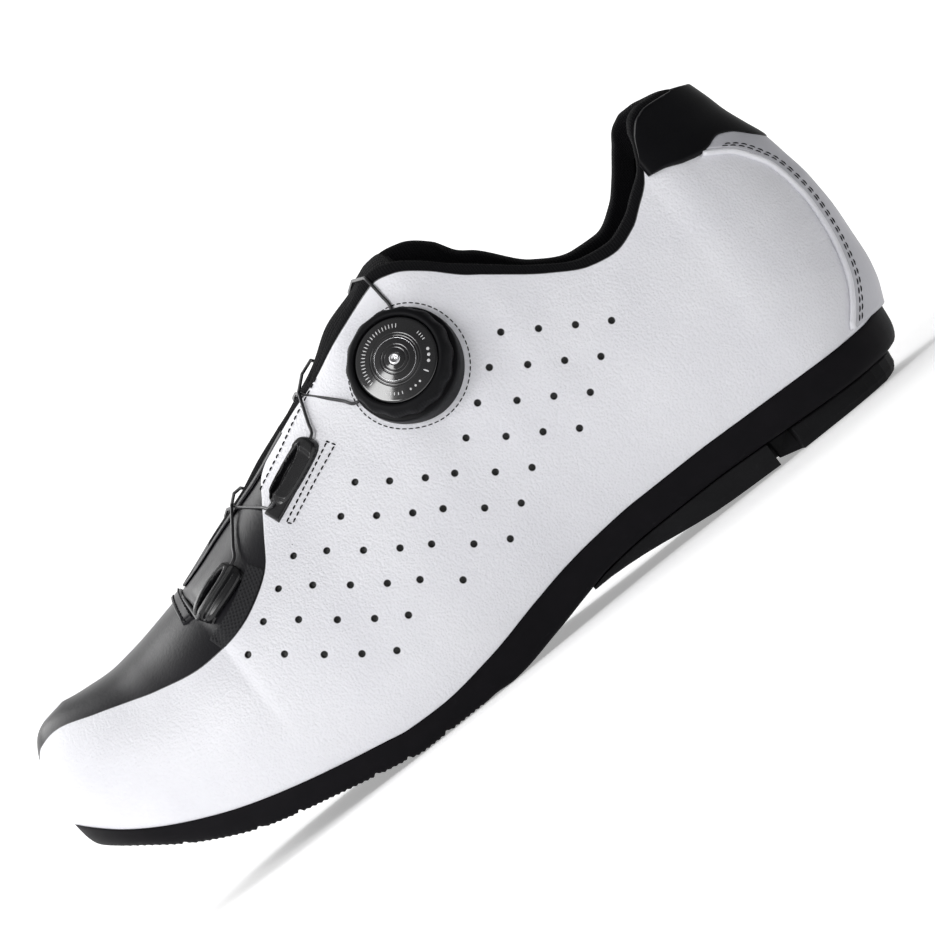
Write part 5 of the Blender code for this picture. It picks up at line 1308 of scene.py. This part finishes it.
def block_height(a, up):
    """Upper guides: plateau, outer face sloping down, head at the heel end, oval channel with a rim."""
    oval = np.hypot((a + 0.13) / 0.72, (up - 0.34) / 0.34)
    slope = 1 - 0.35 * np.clip((0.1 - up) / 1.1, 0, 1)
    head = 0.5 * soft_step(a - 0.62, 0.10) - 0.8 * soft_step(-0.80 - a, 0.08)
    return (body(a, up, 0.16) * (2.9 * slope + head) - 2.1 * soft_step(1 - oval, 0.22)
            + 0.55 * np.exp(-((oval - 1.12) / 0.075) ** 2) * body(a, up, 0.16))


def loop_height(a, up):
    """Lower guides: a raised U round a slot, with a lower step on its outer side."""
    oval = np.hypot((a + 0.06) / 0.62, (up - 0.22) / 0.20)
    ridge = np.exp(-(np.maximum(np.abs(oval - 1.75) - 0.45, 0) / 0.22) ** 2)
    second = 0.5 * np.exp(-((up + 0.62) / 0.10) ** 2) * soft_step(0.85 - np.abs(a), 0.1)
    return body(a, up, 0.20) * (1.7 + 1.3 * ridge + second) - 1.4 * soft_step(1.15 - oval, 0.25)


GUIDE_BED, GUIDE_RISE = 0.2 * MM, 0.3 * MM
for name, (share, level, side, slope, length, width) in GUIDES.items():
    q0 = side * around(np.array(share))
    k0 = level_row(q0, level * TOP_HEIGHT)
    centre, normal, run, cross = spot_axes(q0, k0, math.radians(slope))
    guide_places[name] = (centre, normal, run, cross, length * MM)
    a, b = np.meshgrid(np.linspace(-1, 1, 121), np.linspace(-1, 1, 71))
    s = a * length * MM / 2 * (1 - 0.10 * b * b)
    t = b * width * MM / 2 * (1 - 0.15 * a * a)
    guide_q, guide_k = lay_on(q0, k0, run, cross, s, t)
    under = panel_form(guide_q, guide_k, GUIDE_BED)
    height = (loop_height if "lower" in name else block_height)(a, -side * b) * MM
    face = under + last_normal(guide_q, guide_k) * (height[..., None] + GUIDE_RISE)
    guide_points, guide_quads = sheet_arrays(face, under)
    guide_piece = put_mesh("guide_" + name + "_moulding", guide_points, guide_quads, closed=True)
    dress(guide_piece, guide_plastic, "guide_plastic", "guide_" + name)

# %% [markdown]
# ## Stitching, webbing and the throat bar
# The upper guide is held by a box of black stitches, and one more row follows the throat's white edge. The
# lower guide sits on a woven strip that is sewn along the white panel. A folded bar of black leather closes
# the throat's front end. A strip is a line of marks widened to both sides, laid on the form and lifted.

# %% Seams and strips round the guides
BOX_SEAMS = (
    ((-162.0, 75.2), (-150.0, 80.8), (-138.3, 86.3)), ((-160.6, 74.0), (-149.0, 79.2), (-137.2, 84.2)),
    ((-162.2, 75.6), (-160.4, 73.6)), ((-138.6, 86.9), (-136.8, 83.9)),
    ((-162.5, 86.7), (-156.0, 89.7), (-150.0, 92.5), (-142.0, 96.6), (-134.0, 100.2), (-129.0, 102.5)),
)
box_lines = []
for marks in BOX_SEAMS:
    for side in (-1.0, 1.0):
        count = 90 if len(marks) > 2 else 12
        box_lines.append(side_line(marks, PANEL_STEP, side, count))
dress(seam("guide_seams", box_lines, 2.0 * MM, 0.94, 0.24 * MM), black_thread, "white_leather", "upper")


WEBBING_MARKS = ((-199.5, 60.2), (-191.0, 63.0), (-183.0, 66.9), (-176.5, 71.0))
WEBBING_WIDTH, WEBBING_THICKNESS, WEAVE_DEPTH = 5.4, 0.7 * MM, 0.28 * MM
WEAVE_ALONG, WEAVE_ACROSS = 1.5, 1.35
FLAP_MARKS = ((-164.5, 78.6), (-160.0, 80.4), (-152.0, 83.9), (-142.5, 88.4))
FLAP_WIDTH, FLAP_THICKNESS = 4.6, 0.9 * MM


def strip(name, marks, width, lift, thickness, side=-1.0, weave=0.0, count=120, across=37):
    """A closed strip along side marks in mm, widened in the side view; weave is a product of two sines."""
    line = smooth_line(marks, count)
    ahead = unit(np.gradient(line, axis=0))
    spread = np.linspace(-0.5, 0.5, across)
    flat_x = line[:, None, 0] - ahead[:, None, 1] * spread * width
    flat_z = line[:, None, 1] + ahead[:, None, 0] * spread * width
    q, k = on_side((flat_x + MARK_SHIFT) * MM, flat_z * MM, side)
    border = np.minimum(np.arange(count), np.arange(count)[::-1])[:, None] / 4.0
    edge = np.clip(np.minimum((0.5 - np.abs(spread)) / 0.10, border), 0, 1)
    high = lift + thickness * quarter_round(edge)
    length = np.linalg.norm(np.diff(line, axis=0), axis=1).sum()
    over_under = np.sin(2 * math.pi * np.linspace(0, length / WEAVE_ALONG, count))[:, None]
    high = high + weave * edge * over_under * np.sin(2 * math.pi * spread * width / WEAVE_ACROSS)
    outer, inner = panel_form(q, k, high), panel_form(q, k, lift - 0.3 * MM)
    points, quads = sheet_arrays(outer, inner)
    if side > 0:
        quads = quads[:, ::-1]
    return put_mesh(name, points, quads, closed=True)


for side_name, side in (("outer", -1.0), ("inner", 1.0)):
    woven = strip("guide_webbing_" + side_name, WEBBING_MARKS, WEBBING_WIDTH, 0.1 * MM, WEBBING_THICKNESS,
                  side, WEAVE_DEPTH)
    dress(woven, webbing, "white_leather", "upper")
    flap = strip("guide_flap_" + side_name, FLAP_MARKS, FLAP_WIDTH, PANEL_STEP, FLAP_THICKNESS, side)
    dress(flap, guide_plastic, "guide_plastic", "upper")

# %% The bar across the throat's front end
BAR_FRONT, BAR_WIDTH, BAR_BOW, BAR_LOW, BAR_THICKNESS = -204.0, 4.2, 1.5, 70.4 * MM, 1.0
bar_rise = np.concatenate([np.linspace(0, 1, 40), np.linspace(1, 0, 40)[1:]])[:, None]
bar_side = np.where(np.arange(79) < 40, -1.0, 1.0)[:, None]
bar_across = np.linspace(0, 1, 21)[None, :]
bar_x = (MARK_SHIFT + BAR_FRONT + BAR_WIDTH * bar_across + BAR_BOW * bar_rise) * MM
bar_share = (HEEL_X - bar_x) / LAST_LENGTH
bar_q = bar_side * around(bar_share)
bar_low = level_row(bar_q, BAR_LOW)
bar_k = bar_low + (1 - bar_low) * bar_rise
bar_end = np.clip(bar_rise / 0.08, 0, 1)
bar_edge = np.clip(np.minimum(bar_across, 1 - bar_across) / 0.14, 0, 1) * bar_end
bar_fold = 0.35 * np.exp(-((bar_across - 0.16) / 0.07) ** 2) * bar_end
bar_lift = (0.15 + BAR_THICKNESS * quarter_round(bar_edge) + bar_fold) * MM
bar_base, bar_out = last_point(bar_q, bar_k), last_normal(bar_q, bar_k)
bar_face = bar_base + bar_out * bar_lift[..., None]
bar_points, bar_quads = sheet_arrays(bar_face, bar_base - bar_out * 0.2 * MM)
dress(put_mesh("throat_bar", bar_points, bar_quads, closed=True), black_leather, "white_leather", "upper")
bar_lines = [(bar_base[:, column] + bar_out[:, column] * (bar_lift[:, column] + 0.05 * MM)[:, None],
              bar_out[:, column]) for column in (6, 17)]
dress(seam("throat_bar_seams", bar_lines, 1.9 * MM, 0.85, 0.2 * MM), black_thread, "white_leather", "upper")

# %% [markdown]
# ## The lace
# The lace is one loop of coated steel wire. It leaves the dial at the top, crosses the throat from guide
# to guide and comes back to the dial's toe side. It is pulled tight: between two guides it is straight
# where it is free, and it lies on the tongue and the leather where they are higher.

# %% The wire's route
LACE_RADIUS = 0.5 * MM
CLEARANCE = LACE_RADIUS + 0.25 * MM
IN_CHANNEL = 2.2 * MM


def ground(names):
    """A ray tree of CAD nodes that the wire lies on."""
    vertices, faces = [], []
    for name in names:
        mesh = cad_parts[name].data
        faces += [[len(vertices) + i for i in polygon.vertices] for polygon in mesh.polygons]
        vertices += [v.co.copy() for v in mesh.vertices]
    return BVHTree.FromPolygons(vertices, faces)


wire_ground = ground(["upper", "tongue"])


def lowest_clear(x, y):
    """Lowest height over (x, y) from which a point keeps its clearance to what is below it."""
    hit = wire_ground.ray_cast(Vector((x, y, 2 * TOP_HEIGHT)), Vector((0, 0, -1)))
    z = hit[0].z + CLEARANCE if hit[0] is not None else 0.0
    while hit[0] is not None and wire_ground.find_nearest(Vector((x, y, z)))[3] < CLEARANCE:
        z += 0.1 * MM
    return z


def taut(start, end, raised=0.0, count=41):
    """A wire pulled tight: each height is its neighbours' mean, or the ground's where that is higher."""
    share = np.linspace(0, 1, count)
    path = start + (end - start) * share[:, None]
    low = np.array([lowest_clear(x, y) for x, y, _ in path.tolist()]) + raised
    height = path[:, 2].copy()
    height[[0, -1]] = np.maximum(height[[0, -1]], low[[0, -1]])
    for _ in range(1500):
        height[1:-1] = np.maximum(low[1:-1], (height[:-2] + height[2:]) / 2)
    path[:, 2] = height
    return path


def straight(*bends):
    """Points along straight stretches from bend to bend, close enough that the drawn line stays straight."""
    shares = np.array([0.02, 0.25, 0.5, 0.75, 0.98])[:, None]
    return np.concatenate([start + (end - start) * shares for start, end in zip(bends[:-1], bends[1:])])


# %% Where the wire passes guides, dial and edge
def guide_mouth(name, end, high=1.2 * MM):
    """Where the wire leaves a guide: just past its end, over the leather."""
    centre, normal, run, _, length = guide_places[name]
    return centre + run * end * (length / 2 + LACE_RADIUS + GAP) + normal * high


def through(name, first_end):
    """The wire inside a guide, from one end to the other along the channel's floor."""
    centre, normal, run, _, length = guide_places[name]
    s = np.linspace(first_end, -first_end, 7)[1:-1]
    return centre + run * (s * length / 2)[:, None] + normal * IN_CHANNEL


rim = base_radius + LACE_RADIUS + GAP
toe_way = dial_across if dial_across[0] < 0 else -dial_across
exit_middle = dial_spot + dial_axis * (0.5 * dial_deck + 1.2 * MM)
dial_top = exit_middle + (dial_up * 0.93 - toe_way * 0.36) * rim
dial_toe = exit_middle + (toe_way - dial_up * 0.02) * rim
under_dial = dial_spot + dial_axis * (0.5 * dial_deck + 0.6 * MM)


def over_edge(x, z, lift):
    """A point of the wire where it bends over the throat's edge, lift above the leather."""
    q, k = on_side((x + MARK_SHIFT) * MM, z * MM)
    return panel_form(q, k, lift)


# %% The wire itself
OVER, UNDER, CROSSING_GAP = 1.9 * MM, 0.8 * MM, 0.9 * MM
upper_bend, lower_bend = (-135.6, 101.2), (-171.2, 87.2)
route = [
    np.array([under_dial + (dial_top - under_dial) * 0.8]),
    taut(dial_top, guide_mouth("medial_top", 1.0)), through("medial_top", 1.0),
    taut(guide_mouth("medial_top", -1.0), over_edge(*upper_bend, OVER), CROSSING_GAP),
    straight(over_edge(*upper_bend, OVER), guide_mouth("lateral_upper", 1.0, IN_CHANNEL)),
    through("lateral_upper", 1.0),
    straight(guide_mouth("lateral_upper", -1.0, IN_CHANNEL), over_edge(*lower_bend, UNDER)),
    taut(over_edge(*lower_bend, UNDER), guide_mouth("medial_lower", 1.0)), through("medial_lower", 1.0),
    taut(guide_mouth("medial_lower", -1.0), guide_mouth("lateral_lower", -1.0)),
    through("lateral_lower", -1.0),
    straight(guide_mouth("lateral_lower", 1.0, IN_CHANNEL), over_edge(*lower_bend, OVER)),
    taut(over_edge(*lower_bend, OVER), guide_mouth("medial_upper", -1.0), CROSSING_GAP),
    through("medial_upper", -1.0),
    taut(guide_mouth("medial_upper", 1.0), over_edge(*upper_bend, UNDER)),
    straight(over_edge(*upper_bend, UNDER), dial_toe),
    np.array([under_dial + (dial_toe - under_dial) * 0.8]),
]
wire_marks = np.concatenate(route)
wire_line = smooth_line(wire_marks, 1500)
wire_length = np.linalg.norm(np.diff(wire_line, axis=0), axis=1).sum()
wire_up = unit(wire_line - np.array([wire_line[:, 0].mean(), 0.0, 0.04]))
wire_piece = tube("lace_wire", wire_line, wire_up, LACE_RADIUS, 12)
dress(wire_piece, lace_steel, "lace_wire", "lace_dial_run", "lace_cross_upper", "lace_cross_lower",
      "lace_front_bar")
print("wire", round(wire_length / MM), "mm")

# %% [markdown]
# ## Stage, camera and light
# The shoe was photographed from its outer side with a long lens and then turned in the frame, so the
# camera looks along +Y from far off and is rolled. The world is bright behind the shoe, which whitens the
# background and puts the sheen on the vamp, and dim in front, so that glossy black has something dark to
# reflect. The floor is a faintly glowing table. A key lamp stands on the toe side in front, where the
# dial's cone mirrors it as a bright sector. A softbox high behind the toe gives the vamp its sheen.

# %% Camera
LENS, SENSOR = 400.0, 36.0
FRONT_LIGHT, BACK_LIGHT, TOE_LIGHT = 0.17, 1.10, 0.45
NEAR_GLOW, FAR_GLOW = 0.36, 0.85
VIEW_WIDTH, VIEW_TILT, VIEW_ROLL = 270.2 * MM, math.radians(2.0), math.radians(-38.2)
VIEW_TARGET, CLIP_NEAR, CLIP_FAR = (-95.8 * MM, -20 * MM, 55.6 * MM), 0.1, 60.0
target = Vector(VIEW_TARGET)
back = Vector((0.0, -math.cos(VIEW_TILT), math.sin(VIEW_TILT)))
camera_data = bpy.data.cameras.new("camera")
camera_data.lens, camera_data.sensor_width = LENS, SENSOR
camera_data.clip_start, camera_data.clip_end = CLIP_NEAR, CLIP_FAR
camera = bpy.data.objects.new("camera", camera_data)
bpy.context.scene.collection.objects.link(camera)
camera.location = target + back * (VIEW_WIDTH * LENS / SENSOR)
level_turn = (-back).to_track_quat("-Z", "Y")
camera.rotation_mode = "QUATERNION"
camera.rotation_quaternion = level_turn @ Quaternion((0.0, 0.0, 1.0), VIEW_ROLL)
bpy.context.scene.camera = camera
print("camera", [round(v, 3) for v in camera.location])

# %% Floor and world
FLOOR_RINGS, FLOOR_SIDES, GLOW_FROM, GLOW_TO = (0.0, 0.5, 2.0, 12.0), 64, 0.3, 1.6
floor_turn = full_turn(FLOOR_SIDES)
floor_rings = np.array(FLOOR_RINGS)[:, None, None]
floor_grid = floor_rings * np.stack([np.cos(floor_turn), np.sin(floor_turn), 0 * floor_turn], -1)
floor_grid[..., 2] = -0.05 * MM
floor = put_mesh("studio_floor", floor_grid, grid_quads(len(FLOOR_RINGS), FLOOR_SIDES, wrap=True))
floor_paper, paper_tree, paper_shader = plain("floor_paper", (0.90, 0.90, 0.90), Roughness=0.9,
                                              Specular_IOR_Level=0.1, Emission_Color=(1.0, 1.0, 1.0, 1.0))
distance = node(paper_tree, "VectorMath", {0: place(paper_tree)}, operation="LENGTH").outputs["Value"]
glow = node(paper_tree, "MapRange", {"Value": distance, "From Min": GLOW_FROM, "From Max": GLOW_TO,
                                     "To Min": NEAR_GLOW, "To Max": FAR_GLOW}).outputs[0]
paper_tree.links.new(glow, paper_shader.inputs["Emission Strength"])
floor.data.materials.append(floor_paper)

world = bpy.data.worlds.new("studio")
world.use_nodes = True
sky = world.node_tree
way = node(sky, "SeparateXYZ", {"Vector": node(sky, "TexCoord").outputs["Generated"]}).outputs


def fade(value, start, end, low, high):
    """Smooth step of one part of the direction: low before start, high after end."""
    return node(sky, "MapRange", {"Value": value, "From Min": start, "From Max": end, "To Min": low,
                                  "To Max": high}, interpolation_type="SMOOTHSTEP").outputs[0]


behind = fade(way["Y"], 0.2, 0.75, 0.0, BACK_LIGHT - FRONT_LIGHT)
not_above, not_heel_side = fade(way["Z"], 0.6, 0.9, 1.0, 0.0), fade(way["X"], 0.1, 0.6, 1.0, 0.0)
back_wall = maths(sky, "MULTIPLY", behind, maths(sky, "MULTIPLY", not_above, not_heel_side))
toe_wall = fade(way["X"], -0.9, 0.3, TOE_LIGHT, 0.0)
strength = maths(sky, "ADD", maths(sky, "ADD", back_wall, toe_wall), FRONT_LIGHT)
sky.links.new(strength, sky.nodes["Background"].inputs["Strength"])
sky.nodes["Background"].inputs["Color"].default_value = (1.0, 1.0, 1.0, 1.0)
bpy.context.scene.world = world
bpy.context.scene.view_settings.view_transform = "Standard"
print("world", FRONT_LIGHT, "in front,", BACK_LIGHT, "behind")


# %% Lamps
def lamp(name, toe_turn, height_turn, distance, size, radiance, aim=(-0.10, 0.0, 0.05)):
    """A square soft lamp given by its direction from the shoe in degrees and by how bright its face is."""
    toe_turn, height_turn = math.radians(toe_turn), math.radians(height_turn)
    way = Vector((-math.sin(toe_turn) * math.cos(height_turn), -math.cos(toe_turn) * math.cos(height_turn),
                  math.sin(height_turn)))
    data = bpy.data.lights.new(name, "AREA")
    data.size, data.energy = size, radiance * math.pi * size * size
    made = bpy.data.objects.new(name, data)
    bpy.context.scene.collection.objects.link(made)
    made.location = Vector(aim) + way * distance
    made.rotation_mode = "QUATERNION"
    made.rotation_quaternion = (-way).to_track_quat("-Z", "Y")
    print(name, "gives", round(data.energy, 1), "W")


lamp("key_toe_side", 42.0, 30.0, 1.5, 0.60, 8.2)
lamp("top_softbox", 135.0, 46.0, 1.2, 0.6, 4.8)
